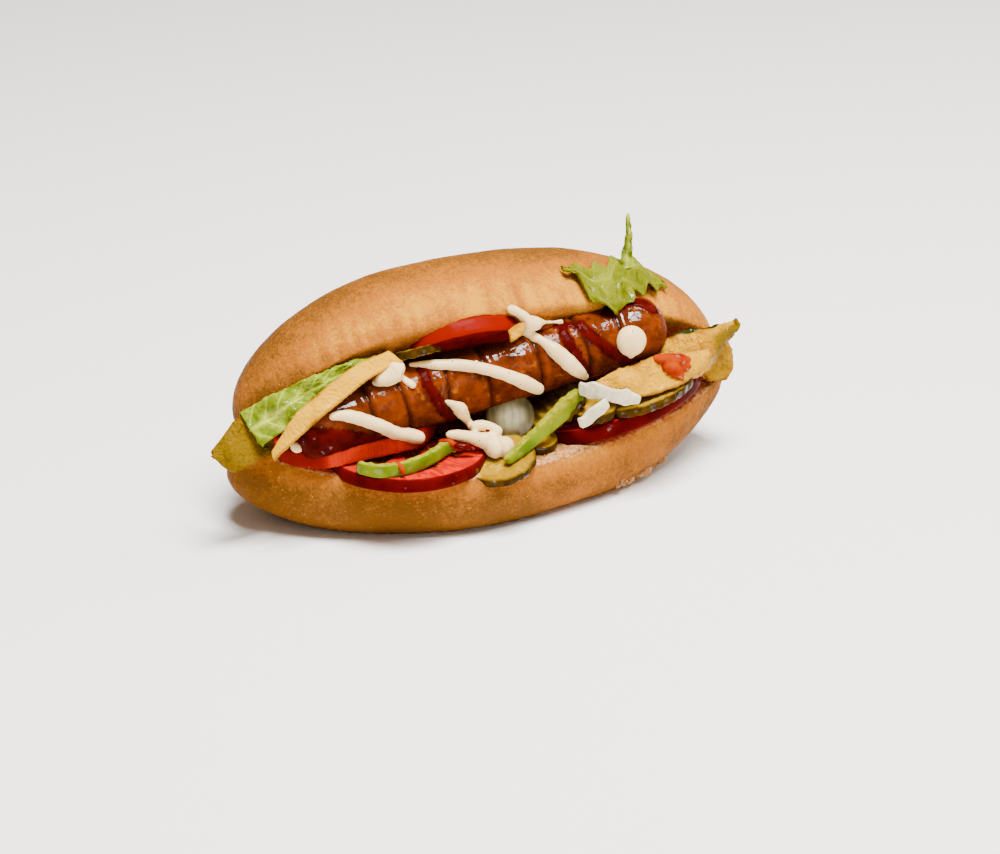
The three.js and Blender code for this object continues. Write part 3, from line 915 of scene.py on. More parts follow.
def on_meat(stations, lift=0.6):
    return [on_sausage(t, turn, lift)[0] for t, turn in stations]


def dot(t, turn, wide, high, steps=30):
    """A round drop of sauce that lies on the sausage."""
    reach = wide / MEAT_LENGTH
    line = eased(on_meat([(t - reach, turn), (t, turn), (t + reach, turn)], 0.3), steps)
    here = np.full(steps, t)
    out = unit(on_sausage(here, turn) - along_meat(MEAT_LINE, here))
    return tube(line, wide, high, frame_of=(unit(np.cross(out, along_meat(MEAT_AHEAD, here))), out))


# %% Finishes of the sauces
def sauce_finish(name, light, dark, roughness, subsurface, gloss, coat):
    return finish(
        name, [light, ((6, 0.3, 0.7), dark)], vary((3, 0.3, 0.7, 2), *roughness),
        vary((3, 0.56, 0.62, 4), 0.0, coat), grain(3.0, 1.0), 0.25,
        subsurface_weight=subsurface, subsurface_scale=0.002, subsurface_radius=(1.0, 0.7, 0.4),
        coat_roughness=0.06, specular_ior_level=gloss,
    )


MAYONNAISE = sauce_finish("mayonnaise", "#fad698", "#e8c688", (0.3, 0.45), 0.2, 0.3, 0.2)
KETCHUP = sauce_finish("ketchup", "#5c0400", "#440100", (0.1, 0.2), 0.1, 0.02, 0.8)
ORANGE_SAUCE = sauce_finish("orange sauce", "#7c0a00", "#9c3600", (0.1, 0.2), 0.0, 0.0, 1.0)

# %% The strings of mayonnaise
strings = [
    string(
        on_meat([(0.09, 34), (0.123, 30), (0.155, 20), (0.201, 0), (0.251, -30)], 0.5)
        + [(-33.5, -21.4, 35.6), (-26.8, -22.8, 33.4)],
        2.4, 4.4, 4.6, 4.6, 5.0, 5.4, 4.6,
    ),
    string(
        on_meat(
            [(0.328, 80), (0.348, 74), (0.388, 63), (0.446, 49), (0.506, 30), (0.576, 1), (0.636, -34)], 0.8
        ),
        1.4, 3.6, 4.2, 4.1, 4.3, 5.2, 4.2,
    ),
    string(
        [(6.6, -15, 74), (9.5, -15.5, 72.6), (12.4, -16, 70.4), (14.8, -16, 67)]
        + on_meat([(0.634, 76), (0.661, 49), (0.687, 25), (0.722, -6), (0.758, -38)], 0.5),
        3.2, 3.6, 4.2, 4.0, 3.2, 5.6, 5.8, 4.8, 2.4,
    ),
    string([(12, -15, 70), (16, -14.5, 66.8), (20, -14, 66)], 2.8, 5.4, 5.0, steps=30),
    string(
        [(14.6, -15, 67), (18.6, -14, 66.4), (24, -13, 65.4), (28.9, -12.6, 64.6)],
        4.4, 4.4, 1.3, 1.1, 2.2, steps=40,
    ),
    dot(0.879, 11, 5.6, 4.2),
    string(on_meat([(0.872, 2), (0.872, -10), (0.873, -20)], 0.2), 2.4, 4.0, 3.6, steps=30, flat=0.6),
    string(
        on_meat([(0.223, 66), (0.246, 66), (0.272, 72), (0.296, 76)], 0.3),
        3.8, 6.2, 6.8, 4.6, steps=40, flat=0.6,
    ),
    string(
        [(-42.7, -18.5, 55.5), (-38.4, -17.5, 56.3), (-34.4, -16.5, 57.8), (-32.2, -16.5, 56.4)],
        3.4, 6.4, 8.4, 5.0, steps=40,
    ),
    string(on_meat([(0.236, 62), (0.262, 60), (0.286, 62)], 0.3), 2.6, 3.6, 3.0, steps=30, flat=0.6),
    string(
        on_meat([(0.292, 72), (0.298, 60), (0.307, 48), (0.32, 38)], 0.3),
        3.6, 2.2, 3.4, 3.8, steps=30, flat=0.7,
    ),
    string(
        on_meat([(0.38, 4), (0.398, -6), (0.415, -18), (0.426, -34)], 0.4)
        + [(-9.6, -19.6, 35.6), (-8.6, -22, 33.6)],
        1.0, 3.0, 5.2, 4.6, 2.6, 3.4, steps=50,
    ),
    string([(-73.4, -17, 36), (-71, -17.6, 35.6), (-69.2, -18, 34.7)], 2.6, 4.2, 3.4, steps=30),
]
flowed("mayonnaise_strings", strings, 0.42, 5, MAYONNAISE, wobble=0.12)

pool = [
    string(
        [(-20.2, -25, 34.8), (-16.5, -25.5, 34.4), (-12.3, -26, 33.1), (-8.2, -27, 31.8), (-4.4, -28, 30.7)],
        2.6, 3.8, 4.2, 5.2, 7.0,
    ),
    string(
        [(-10, -22.4, 34.2), (-7.9, -22.6, 35), (-5.1, -23, 34.8), (-2.1, -24, 33.4), (-0.2, -25.5, 31.2)],
        3.6, 4.0, 3.9, 4.2, 5.6,
    ),
    string([(0.6, -25.4, 30.4), (0.4, -28, 28.6), (-2.6, -31.6, 26.9)], 5.8, 7.4, 5.4),
    string([(-3.6, -27, 30.6), (-4, -30, 28.6), (-4.8, -32.6, 26.8)], 7.6, 7.4, 5.4, steps=40),
    string([(-9.4, -22.6, 34), (-8.6, -24.6, 33)], 2.6, 3.2, steps=24),
    string([(-5.4, -25, 32.2), (-1, -26.2, 30.6)], 3.0, 5.0, steps=24),
]
flowed("mayonnaise_pool", pool, 0.4, 6, MAYONNAISE, ["mayo_pool"], wobble=0.12)

# %% [markdown]
# ## Slices
# Tomato, pickle, onion and round crisps are slices: a profile turned round an upright axis,
# pulled into an oval, bent, and laid in place. Each point keeps its place in the slice, so
# that a finish can draw spokes and rings of flesh.


# %% Slices
FLAT = [1, 1, 0]


def turned(profile, sides):
    """A closed surface turned from a list of (radius, height)."""
    along = len(profile) + 1
    table = np.array([(0, profile[0][1])] + list(profile) + [(0, profile[-1][1])])

    def place(u, v):
        r, z = table[np.round(v * along).astype(int)].T
        return np.column_stack([r * np.cos(2 * np.pi * u), r * np.sin(2 * np.pi * u), z])

    return closed_grid(place, sides, along)


def laid(points, at, facing, along=(1, 0, 0)):
    z = unit(np.array(facing, dtype=float))
    x = np.array(along, dtype=float)
    x = unit(x - (x @ z) * z)
    return np.array(at) + points[:, :1] * x + points[:, 1:2] * np.cross(z, x) + points[:, 2:] * z


def oval(stretch):
    return lambda angle: 1 / np.hypot(np.cos(angle) / stretch, np.sin(angle))


def cut_across(share):
    """A round outline cut straight along its front, at a share of its radius."""
    return lambda angle: np.minimum(1, share / np.maximum(share, -np.sin(angle)))


def disc(radius, thickness, outline, sides=120, rings=22, edge=1.2, power=3.0):
    """Points of a slice round its own origin, how far out each is from 0 to 1, and its faces."""
    half = thickness / 2
    lower = [((radius - edge) * (k + 1) / rings, -half) for k in range(rings)]
    turns = np.radians(np.linspace(-90, 90, 13)[1:-1])
    rim = [
        (radius - edge + edge * squared(math.cos(a), power), half * squared(math.sin(a), power))
        for a in turns
    ]
    points, faces = turned(lower + rim + [(r, -z) for r, z in lower[::-1]], sides)
    far = np.hypot(points[:, 0], points[:, 1]) / radius
    angle = np.arctan2(points[:, 1], points[:, 0])
    points[:, :2] *= outline(angle)[:, None]
    return points, far, angle, faces


def wandering(local, lumps, size, seed, amount, far):
    """A factor that pulls a slice's rim out and in by a share of its radius."""
    return (1 + amount * uneven(unit(local * FLAT) * lumps, size, 2, seed) * far)[:, None]


# %% [markdown]
# ## Tomato
# A tomato slice is a wall of flesh with fine spokes round chambers of jelly and seeds, inside
# a thin deep red skin. The cut faces are wet. The chambers sink a little below the wall.


# %% Tomato finish
TOMATO = finish(
    "tomato",
    [
        "#a00800", (spokes(16), "#cc2402"), ((6, 0.4, 0.7), "#aa0e00"),
        ("jelly", ["#6a0600", ((1.6, 0.55, 0.62, 5), "#a8700e")]), ("serrated", "#b82400"),
        # The skin red is lifted by the stored light value: painted light on a lit rim.
        ("skin", ["#3a0000", ((12, 0.3, 0.7, 3), "#580200"), ("light", "#8a1000")]),
    ],
    vary((3.5, 0.35, 0.65, 8), 0.12, 0.34), vary((4, 0.63, 0.7, 2), 0.0, 1.0),
    product(total(product(spokes(22), 0.6), grain(1.5, 0.5)), combined("SUBTRACT", 1.0, "skin")), 0.5,
    subsurface_weight=0.08, subsurface_scale=0.002, coat_roughness=0.05, specular_ior_level=0.01,
)


# %% Tomato slices
CHAMBERS = 6
JELLY_DEPTH = 0.7


# light paints a lighter red on the skin, as painted light; the flag after it gives the whole slice the dark
# skin red, as painted shade on its faces.
def tomato(
    name, at, facing, along=(1, 0, 0), outline=oval(1), radius=29, thickness=5.0, sag=0.4, light=0.0,
    all_skin=False,
):
    points, far, angle, faces = disc(radius, thickness, outline)
    local = points.copy()
    flat_z = np.abs(points[:, 2]) / (thickness / 2)
    skin = ramp(far, 0.955, 0.975) * ramp(outline(angle), 0.96, 0.99)
    serrated = (1 - ramp(outline(angle), 0.96, 0.995)) * ramp(far, 0.94, 0.97)
    spacing = np.cos(CHAMBERS * angle + 0.7 * np.sin(angle) + radius)
    jelly = ramp(spacing, -0.45, 0.0) * ramp(far, 0.2, 0.3) * ramp(0.76 - far, 0, 0.08)
    jelly = jelly * ramp(flat_z, 0.9, 1.0)
    rough = uneven(local, 6, 3, 0.1 * radius)
    points[:, 2] += np.sign(points[:, 2]) * (0.25 * rough * (1 - skin) - JELLY_DEPTH * jelly)
    points[:, 1] += 0.22 * serrated * np.sin(2 * np.pi * local[:, 0] / 0.9 + 2 * rough)
    points[:, :2] *= wandering(local, 6, 3, 5.0, 0.012, far)
    points[:, 2] += sag * uneven(local * FLAT, 25, 1, 2.0)
    masks = {
        "skin": 1.0 if all_skin else skin, "jelly": jelly, "serrated": serrated, "light": light * skin,
        "local": local,
    }
    finished(name, laid(points, at, facing, along), faces, TOMATO, solid_of(name), masks)


tomato("tomato_front_slice", (-31, -13, 25), (0.02, 0, 1))
# Painted light along this slice's skin.
tomato(
    "tomato_left_slice", (-46.5, 2, 31.5), (-0.06, 0.03, 1), outline=cut_across(0.82), radius=31, thickness=6,
    light=0.5,
)
tomato("tomato_right_slice", (54.2, -0.9, 27.3), (-0.17, 0.11, 1), (1, 0.43, 0), oval(1.45), 27, 5.5)
# Dark skin red all over as painted shade on its lower face, with painted light along its rim.
tomato(
    "tomato_top_slice", (-7.5, -10.5, 63.5), (0, -0.72, -0.69), (1, 0, 0.18), oval(2.1), 9.5, 7, 0.0,
    light=0.6, all_skin=True,
)

# %% [markdown]
# ## Pickle
# Pickled gherkin is cut with a ridged blade. Its rind is dark olive and bumpy, its flesh is
# yellow and glassy, and pale seeds lie in a ring round the middle.


# %% Pickle finish
PICKLE_FLESH = ["#8a6200", ((5, 0.35, 0.65), "#a07a06"), (spokes(7, 0.4, 0.55, 0.75), "#7c5c00")]
PICKLE = finish(
    "pickle",
    PICKLE_FLESH + [
        ("seeds", PICKLE_FLESH + [((1.3, 0.56, 0.62, 3), "#b08c20")]),
        ("skin", ["#2a1a00", ((3, 0.35, 0.65, 5), "#442c00")]),
    ],
    vary((3, 0.35, 0.65, 8), 0.1, 0.3), vary((4, 0.55, 0.65, 2), 0.0, 0.7),
    total(grain(1.4, 0.4), grain(4, 0.5)), 0.3,
    subsurface_weight=0.2, subsurface_scale=0.0025, coat_roughness=0.05, specular_ior_level=0.02,
)


# %% Pickle slices
RIM_RIDGES = 12
BLADE_SPACING, BLADE_DEPTH = 3.4, 0.14


def pickle(name, at, facing, radius, stretch=1.0, along=(1, 0, 0), thickness=3.0, wave=0.0):
    def outline(angle):
        return oval(stretch)(angle) * (1 + 0.012 * np.cos(RIM_RIDGES * angle))

    points, far, _, faces = disc(radius, thickness, outline, 144, 14, 0.5)
    local = points.copy()
    on_face = ramp(np.abs(points[:, 2]) / (thickness / 2), 0.85, 1.0)
    skin = ramp(far, 0.93, 0.96) * (1 - 0.3 * on_face)
    seeds = ramp(far, 0.25, 0.35) * ramp(0.68 - far, 0, 0.1) * on_face
    ridges = BLADE_DEPTH * np.cos(2 * np.pi * local[:, 0] / BLADE_SPACING) * on_face
    bend = wave * np.sin(points[:, 0] * 1.6)
    points[:, 2] += np.sign(points[:, 2]) * ridges + bend + 0.5 * uneven(local * FLAT, 14, 1, radius)
    points[:, :2] *= wandering(local, 5, 2, radius, 0.02, far)
    masks = {"skin": skin, "seeds": seeds, "local": local}
    finished(name, laid(points, at, facing, along), faces, PICKLE, solid_of(name), masks)


pickle("pickle_front_slice", (-2.7, -29, 24.3), (-0.16, -0.23, 1), 13.5)
pickle("pickle_leaning_slice", (25.5, -14.5, 34.5), (-0.55, 0.05, 0.83), 12.5, wave=0.5)
pickle("pickle_small_slice", (15, -23, 26), (0, -0.2, 1), 7)
pickle("pickle_middle_slice", (36.5, -22, 34.5), (-0.1, -0.15, 1), 8.5)
pickle("pickle_long_slice", (60.5, -20.7, 35.4), (-0.14, 0.08, 1), 10, 1.9, (1, 0.45, 0))
pickle("pickle_top_slice", (-25, -9, 60), (-0.1, 0.4, 0.9), 9)

# %% [markdown]
# ## Green pepper
# A strip of pepper is a piece of a ring: glossy green skin outside, pale flesh on the cut
# edges, and a lumpy inner face.


# %% Strips
def strip(points, thickness, heights, steps=90):
    """A strip on its narrow edge, its heights met at even steps; and each point's place in it."""
    line = eased(points, steps)
    side, up = path_frame(line)[1:]
    run = distances(line)
    high = np.interp(run / run[-1], np.linspace(0, 1, len(heights)), heights) / 2
    around = 40
    grid, faces = tube(line, thickness / 2, high, 4.0, around, (side, up))
    u, v = grid_uv(around, steps - 1)
    far = np.interp(v, np.linspace(0, 1, steps), run)
    angle = 2 * np.pi * u
    half = np.interp(far, run, high)
    return grid, faces, np.column_stack([far, half * np.sin(angle), thickness / 2 * np.cos(angle)]), angle


def laid_middle(grid, local):
    """The middle of the strip's own ring at each point."""
    order = np.unique(np.round(local[:, 0], 4), return_inverse=True)[1]
    count = np.bincount(order)
    return np.column_stack([np.bincount(order, column) / count for column in grid.T])[order]


# %% Green pepper
PEPPER = finish(
    "green pepper",
    ["#4e6200", ((9, 0.35, 0.65), "#727e00"), ("flesh", ["#6c7404", ((2, 0.35, 0.65, 4), "#98901c")])],
    vary((4, 0.35, 0.65, 8), 0.12, 0.3), vary((4, 0.56, 0.66, 2), 0.0, 0.7),
    product(grain(1.2, 1.0), "flesh"), 0.5,
    subsurface_weight=0.1, subsurface_scale=0.002, coat_roughness=0.06, specular_ior_level=0.02,
)


def pepper(name, points, thickness, heights, rolled=1.0):
    """A strip whose pale inside shows above its skin from the share of its length called rolled."""
    grid, faces, local, angle = strip(points, thickness, heights)
    share = local[:, 0] / local[:, 0].max()
    above = ramp(local[:, 1] + 0.5 * uneven(local, 4, 2, 5.0), 0.2, 0.9) * ramp(share, rolled, rolled + 0.1)
    outer = ramp(-np.cos(angle), 0.35, 0.75) * ramp(0.97 - np.abs(np.sin(angle)), 0, 0.06)
    outer = outer * (1 - above * ramp(1.02 - share, 0.06, 0.1))
    inner = np.maximum(ramp(np.cos(angle), -0.2, 0.5), above)
    normals = point_normals(grid, faces)
    out = np.sign(np.sum(normals * (grid - laid_middle(grid, local)), axis=1))
    lumps = 0.55 * inner * uneven(local, 2.6, 2, 2.0) + 0.1 * uneven(local, 6, 1, 4.0)
    grid = grid + normals * (out * lumps)[:, None]
    masks = {"flesh": 1 - outer, "local": local}
    finished(name, grid, faces, PEPPER, solid_of(name), masks)


pepper(
    "pepper_front_strip",
    [(-53.7, -28.6, 30), (-47.5, -34.6, 30), (-39, -35.5, 30), (-28.5, -32, 30.5), (-17.7, -24.6, 31)],
    3, (4.2, 5, 4.6),
)
pepper(
    "pepper_right_strip",
    [
        (-2.4, -36, 26.4), (2.8, -34, 28), (9.6, -31.3, 30.8), (16.2, -29, 34), (23.1, -26.3, 37.3),
        (31.6, -22.8, 40.6),
    ],
    3.2, (3, 4.6, 5.6, 6.8, 8, 6.4), 0.45,
)

# %% [markdown]
# ## Onion
# Raw onion is white and glassy, with fine lines along each layer. One ring stands under the
# sausage, and two strips lie beside it.


# %% Onion
ONION = finish(
    "onion", ["#c2ba96", ((5, 0.35, 0.65), "#e2d8b4"), ("shade", "#605836"), ("lines", "#7e7650")],
    height=total("lines", grain(2, 0.5)), depth_mm=0.15,
    subsurface_weight=0.4, subsurface_scale=0.003, roughness=0.22, coat_weight=0.4, coat_roughness=0.08,
    specular_ior_level=0.1,
)


def lines_along(x, spacing, wander):
    """From 0 to 1, and 1 on each line across x."""
    return 0.5 + 0.5 * np.cos(2 * np.pi * x / spacing + wander)


def onion_ring(name):
    points, far, _, faces = disc(8.5, 1.8, lambda a: 1 + 0.03 * np.cos(2 * a), 96, 30, 0.7)
    local = points.copy()
    points[:, 2] -= 0.03 * (points[:, 0] ** 2 + points[:, 1] ** 2) + 0.25 * uneven(local, 7, 2, 3.0)
    lines = 0.4 * lines_along(local[:, 0], 2.6, 2 * uneven(local, 6, 2, 7.0)) ** 3
    masks = {"lines": lines, "shade": 0.3 + 0.7 * ramp(far, 0.2, 0.8), "local": local}
    points = laid(points, (6.5, -19.5, 35), (-0.15, -0.92, 0.35))
    finished(name, points, faces, ONION, solid_of(name), masks)


def onion_strip(name, points, heights, spacing):
    grid, faces, local, _ = strip(points, 1.6, heights, steps=110)
    lines = 0.12 * lines_along(local[:, 0], spacing, 2.4 * uneven(local, 4, 2, 7.0)) ** 2
    grid = grid + np.column_stack([0 * lines, 0.5 * uneven(local, 4, 2, 1.0), 0.8 * uneven(local, 5, 2, 3.0)])
    masks = {"lines": lines, "shade": 0.0, "local": local}
    finished(name, grid, faces, ONION, solid_of(name), masks)


onion_ring("onion_ring_slice")
onion_strip(
    "onion_strip_piece",
    [(29.5, -25.2, 44.2), (34.5, -30, 44.3), (42.2, -32, 41.6), (50, -32, 39.6)], (4, 6.4, 4.8, 6, 3), 2.4,
)
onion_strip(
    "onion_strip_low_piece",
    [(26.3, -33, 34.2), (29.7, -33, 36.1), (33.5, -33, 38.5), (37.7, -32, 40.5)], (3.4, 4.6, 5, 4.6), 1.1,
)

# %% [markdown]
# ## Leaves and curled crisps
# A leaf and a curled crisp are both a thin sheet between two edges. The sheet has two faces
# that meet in a rounded edge, so it is closed and has a real thickness.


# %% Sheets
EDGE_READINGS = 200


def edge_steps(count, size, thickness):
    """Steps from 0 to 1 across a sheet, with a few close ones at both edges for its rounding."""
    near = np.array([0, 0.08, 0.3, 0.65, 1.1]) * thickness / 2 / size
    return np.concatenate([near, np.linspace(near[-1], 1 - near[-1], count)[1:-1], 1 - near[::-1]])


def sheet(mid, size, thickness, count):
    """Points of a closed sheet about mid(u, v), its faces, and each point's place in it."""
    u_steps, v_steps = (edge_steps(n, length, thickness) for n, length in zip(count, size))
    nu, nv = len(u_steps), len(v_steps)
    u, v = np.meshgrid(u_steps, v_steps)
    middle = mid(u.ravel(), v.ravel()).reshape(nv, nu, 3)
    across = np.gradient(middle, axis=1) / np.gradient(u, axis=1)[..., None]
    down = np.gradient(middle, axis=0) / np.gradient(v, axis=0)[..., None]
    normal = unit(np.cross(across, down)).reshape(-1, 3)
    middle, u, v = middle.reshape(-1, 3), u.ravel(), v.ravel()
    from_edge = np.minimum(np.minimum(u, 1 - u) * size[0], np.minimum(v, 1 - v) * size[1])
    half = thickness / 2 * np.sqrt(1 - (1 - np.clip(from_edge / (thickness / 2), 0, 1)) ** 2)
    inside = np.flatnonzero(from_edge > 1e-9)
    other = np.arange(nu * nv)
    other[inside] = nu * nv + np.arange(len(inside))
    points = np.vstack([middle + normal * half[:, None], (middle - normal * half[:, None])[inside]])
    faces = []
    for j in range(nv - 1):
        for i in range(nu - 1):
            a = j * nu + i
            ring = (a, a + 1, a + 1 + nu, a + nu)
            faces.append(ring)
            faces.append(tuple(int(other[k]) for k in ring[::-1]))
    every = np.append(np.arange(nu * nv), inside)
    top = np.append(np.ones(nu * nv), np.zeros(len(inside)))
    place = dict(u=u[every], v=v[every], edge=from_edge[every], top=top)
    return points, faces, place


def ruled(lower, upper, wave):
    """A surface from one edge to the other, with wave(u, v) out of it."""
    low, high = spline(lower, EDGE_READINGS), spline(upper, EDGE_READINGS)
    ahead = unit(np.gradient(low, axis=0))

    def mid(u, v):
        where = np.clip(u, 0, 1) * (EDGE_READINGS - 1)
        p, q = read(low, where), read(high, where)
        out = unit(np.cross(read(ahead, where), q - p))
        return p + (q - p) * v[:, None] + out * wave(u, v)[:, None]

    return mid


# %% [markdown]
# ## Crisps
# A crisp is a slice of potato that blistered and curled in hot oil. Its face is golden with
# pale blisters and oily gloss, and its edge is darker. Each crisp is also darkened or lightened
# as a whole: the green value paints shade in dark olive, and the pale value is partly the
# crisp's own lighter gold and partly painted light.


# %% Crisps
CRISP = finish(
    "crisp",
    [
        "#b07600", ((8, 0.35, 0.65), "#ca9206"), ((2, 0.45, 0.65, 3), "#a06a02"),
        # pale: partly lighter gold, partly painted light; green: dark olive painted shade.
        ((0.7, 0.62, 0.7, 6), "#dca828"), ("pale", "#dca000"), ("green", "#5c4800"), ("brown", "#6e3c00"),
        ("rind", "#1c2600"),
    ],
    vary((2, 0.35, 0.65, 8), 0.3, 0.55), vary((6, 0.5, 0.65, 2), 0.0, 0.25),
    total(pores(1.0, 0.7), grain(0.6, 0.6)), 0.35,
    subsurface_weight=0.1, subsurface_scale=0.002, coat_roughness=0.15, specular_ior_level=0.02,
)


# %% Shapes of crisps
def crisp(name, points, faces, replaced, local, edge, seed, depth, green=0.0, rind=0.0, pale=0.0):
    """A crisp with blisters on both faces, toasted most near its edge."""
    normals = point_normals(points, faces)
    blisters = depth * ramp(uneven(local, 3.2, 2, seed), 0.12, 0.5) + 0.12 * uneven(local, 1.3, 2, seed + 3)
    toasted = uneven(local, 9, 2, seed + 1)
    brown = 0.75 * ramp(1.1 - edge + 0.5 * toasted, 0, 1.2) + 0.3 * ramp(toasted, 0.2, 0.7)
    brown = np.clip(brown * (1 - 0.25 * pale), 0, 1)
    # green is painted shade, and pale partly painted light, set for each crisp.
    masks = {"brown": brown, "green": green, "pale": pale, "rind": rind, "local": local}
    finished(name, points + normals * blisters[:, None], faces, CRISP, replaced, masks)


def round_crisp(name, at, facing, radius, curl, seed):
    def lumpy(angle):
        return 1 + 0.03 * np.cos(3 * angle + 1) + 0.02 * np.cos(5 * angle)

    points, far, _, faces = disc(radius, 1.5, lumpy, 160, 34, 0.6, 2.2)
    local = points.copy()
    points[:, 2] += curl * points[:, 1] ** 2 + 0.5 * uneven(local * FLAT, 15, 1, seed)
    edge = (1 - far) * radius
    # 0.4 of the olive painted shade darkens each round crisp.
    crisp(name, laid(points, at, facing), faces, solid_of(name), local, edge, seed, 0.45, 0.4)


def curled_crisp(
    name, lower, upper, size, wave, seed, count, thickness=1.5, green=None, rind=None, depth=0.45, pale=0.0,
    back=3.0, replaced=None,
):
    points, faces, place = sheet(ruled(lower, upper, wave), size, thickness, count)
    u, v = place["u"], place["v"]
    local = np.column_stack([u * size[0], v * size[1], back * place["top"]])
    green, rind = (rule(u, v) if rule else 0.0 for rule in (green, rind))
    replaced = solid_of(name) if replaced is None else replaced
    crisp(name, points, faces, replaced, local, place["edge"], seed, depth, green, rind, pale)


round_crisp("crisp_lobe_slice", (93.5, -3, 37.8), (0.4, -0.85, 0.3), 9.3, 0.02, 2.0)
# Made a little paler: partly its own gold, partly painted light.
curled_crisp(
    "crisp_right_slice",
    [(36.5, -26, 44.4), (43.6, -29, 41.4), (50.9, -30, 39.4), (59.1, -29, 39.6), (69.9, -26, 40.2),
     (81.4, -20, 43.4)],
    [(36.6, -24, 45.1), (44.4, -23.5, 47.8), (51.4, -23, 49), (62.5, -22, 50.9), (78.1, -19, 48.5),
     (84.4, -16, 47.9)],
    (48, 11), lambda u, v: 1.2 * np.sin(np.pi * v) * np.sin(9 * u) + 0.3 * np.sin(23 * u + 5 * v), 1.0,
    (190, 60), pale=0.35, depth=0.3,
)
# Darkened all over with olive painted shade.
curled_crisp(
    "crisp_left_slice",
    [(-100.3, -14, 35.5), (-93.7, -15.5, 29.8), (-86, -16.5, 31.1), (-77.7, -16, 33)],
    [(-99, -12, 36.3), (-93.5, -9.5, 41.7), (-87, -8.3, 46.7), (-77.6, -8.5, 42.7)],
    (24, 14), lambda u, v: 2.5 * np.sin(np.pi * v) * np.sin(5 * u) + 0.4 * np.sin(17 * u + 4 * v), 3.0,
    (150, 60), green=lambda u, v: 0.85,
)
# Made much paler: partly its own lighter gold, partly painted light.
curled_crisp(
    "crisp_long_slice",
    [(-81.3, -24, 35), (-71.2, -25, 43.7), (-60.8, -24, 50.3), (-52.7, -22, 54.4), (-44.6, -20, 58.1),
     (-32.4, -17, 60.7)],
    [(-80.7, -21, 36.6), (-75.8, -21, 45.3), (-69.3, -20, 51.3), (-60.2, -19, 57), (-49.6, -17, 62.1),
     (-36.7, -14, 64)],
    (60, 7), lambda u, v: 0.35 * np.sin(19 * u + 3 * v), 4.0, (260, 34), thickness=1.8, depth=0.12, pale=0.8,
)
# Its right part, below the rim, is darkened with olive painted shade.
curled_crisp(
    "crisp_curled_slice",
    [(64, -16, 42), (72, -16.5, 37), (81, -13.5, 35.5), (88, -10.5, 38.5), (94.6, -7.5, 44),
     (100.8, -4, 49.4)],
    [(62.9, -15, 50), (69, -14, 53), (77, -11, 53.5), (84.5, -9, 52.5), (93, -6, 51.5), (101.3, -3, 50.3)],
    (46, 14), lambda u, v: 3 * np.sin(np.pi * v) + 0.5 * np.sin(14 * u), 5.0, (200, 70),
    green=lambda u, v: 0.9 * ramp(u, 0.45, 0.7) * ramp(0.85 - v, 0, 0.2),
    rind=lambda u, v: ramp(v - 0.93 + 0.03 * np.sin(20 * u), 0, 0.03) * ramp(u, 0.12, 0.25),
)

# %% [markdown]
# ## Lettuce
# The leaf is a thin puckered blade between pale ribs, ruffled most at its torn edge. Its
# ribs branch from one side, so a rule in the leaf's own sizes gives both the ridges and
# their paler colour.


# %% Lettuce
LETTUCE = finish(
    "lettuce",
    [
        "#586a04", ((7, 0.35, 0.65), "#8a9a0c"), ((1.8, 0.4, 0.65, 3), "#647600"), ("pale", "#b4bc3c"),
        # Olive-yellow: the right leaf's own yellower tone and painted shade.
        ("dull", "#5d5a00"),
    ],
    vary((2.5, 0.35, 0.65, 8), 0.18, 0.42), vary((4, 0.52, 0.64, 2), 0.0, 0.6),
    total(grain(2.2, 1.0), grain(0.8, 0.4)), 0.6,
    subsurface_weight=0.25, subsurface_scale=0.002, coat_roughness=0.1, specular_ior_level=0.03,
)
LEAF_THICKNESS = 0.9
RIB_SPACING, RIB_SLANT, MAIN_RIB_WIDTH, FINE_RIB_WIDTH = 6.0, 0.8, 0.8, 0.45


def ribs(x, y):
    """1 on the ribs of a leaf: one along it and finer ones that branch off at a slant."""
    wander = 0.8 * np.sin(x / 5.3) + 0.5 * np.sin(x / 2.3 + 1)
    main = bell(y + wander * 0.4, MAIN_RIB_WIDTH)
    phase = (x - RIB_SLANT * np.abs(y) + wander) / RIB_SPACING
    near = np.abs(phase - np.round(phase)) * RIB_SPACING
    return np.maximum(main, 0.7 * bell(near, FINE_RIB_WIDTH))


def leaf(name, mid, size, count, seed, rib_at=0.5, pucker=0.8, replaced=(), dull=0.0):
    points, faces, place = sheet(mid, size, LEAF_THICKNESS, count)
    x, y = place["u"] * size[0], (place["v"] - rib_at) * size[1]
    local = np.column_stack([x, y, 0 * x])
    rib = ribs(x, y)
    turn = np.where(place["top"] > 0.5, 1.0, -1.0)
    puckered = pucker * uneven(local, 4.5, 3, seed) * (1 - 0.6 * rib) - 0.35 * rib
    points = points + point_normals(points, faces) * turn[:, None] * puckered[:, None]
    pale = np.clip(0.75 * rib + 0.5 * ramp(uneven(local, 12, 2, seed + 5), 0.15, 0.7), 0, 1)
    masks = {"pale": pale, "dull": dull, "local": local}
    finished(name, points, faces, LETTUCE, replaced, masks)


def lettuce_on_lip(u, v):
    rise, loop = np.sin(np.pi * u), bell(u - 0.33, 0.16)
    upper = 160 - 24 * np.sin(np.pi * u**3) + 3 * np.sin(31 * u)
    lower = 162 + 14 * rise + 32 * loop + 2.5 * np.sin(37 * u + 1)
    frill = 1.2 * np.sin(26 * u) * (1 - 0.5 * v) + (3 * rise + 3 * loop) * (1 - v) ** 2
    frill = frill + 0.5 * np.sin(61 * u + 3 * v) * (1 - v)
    return crown_surface(lerp(0.29, 0.75, u), np.radians(lerp(lower, upper, v)), 1.8 + frill)


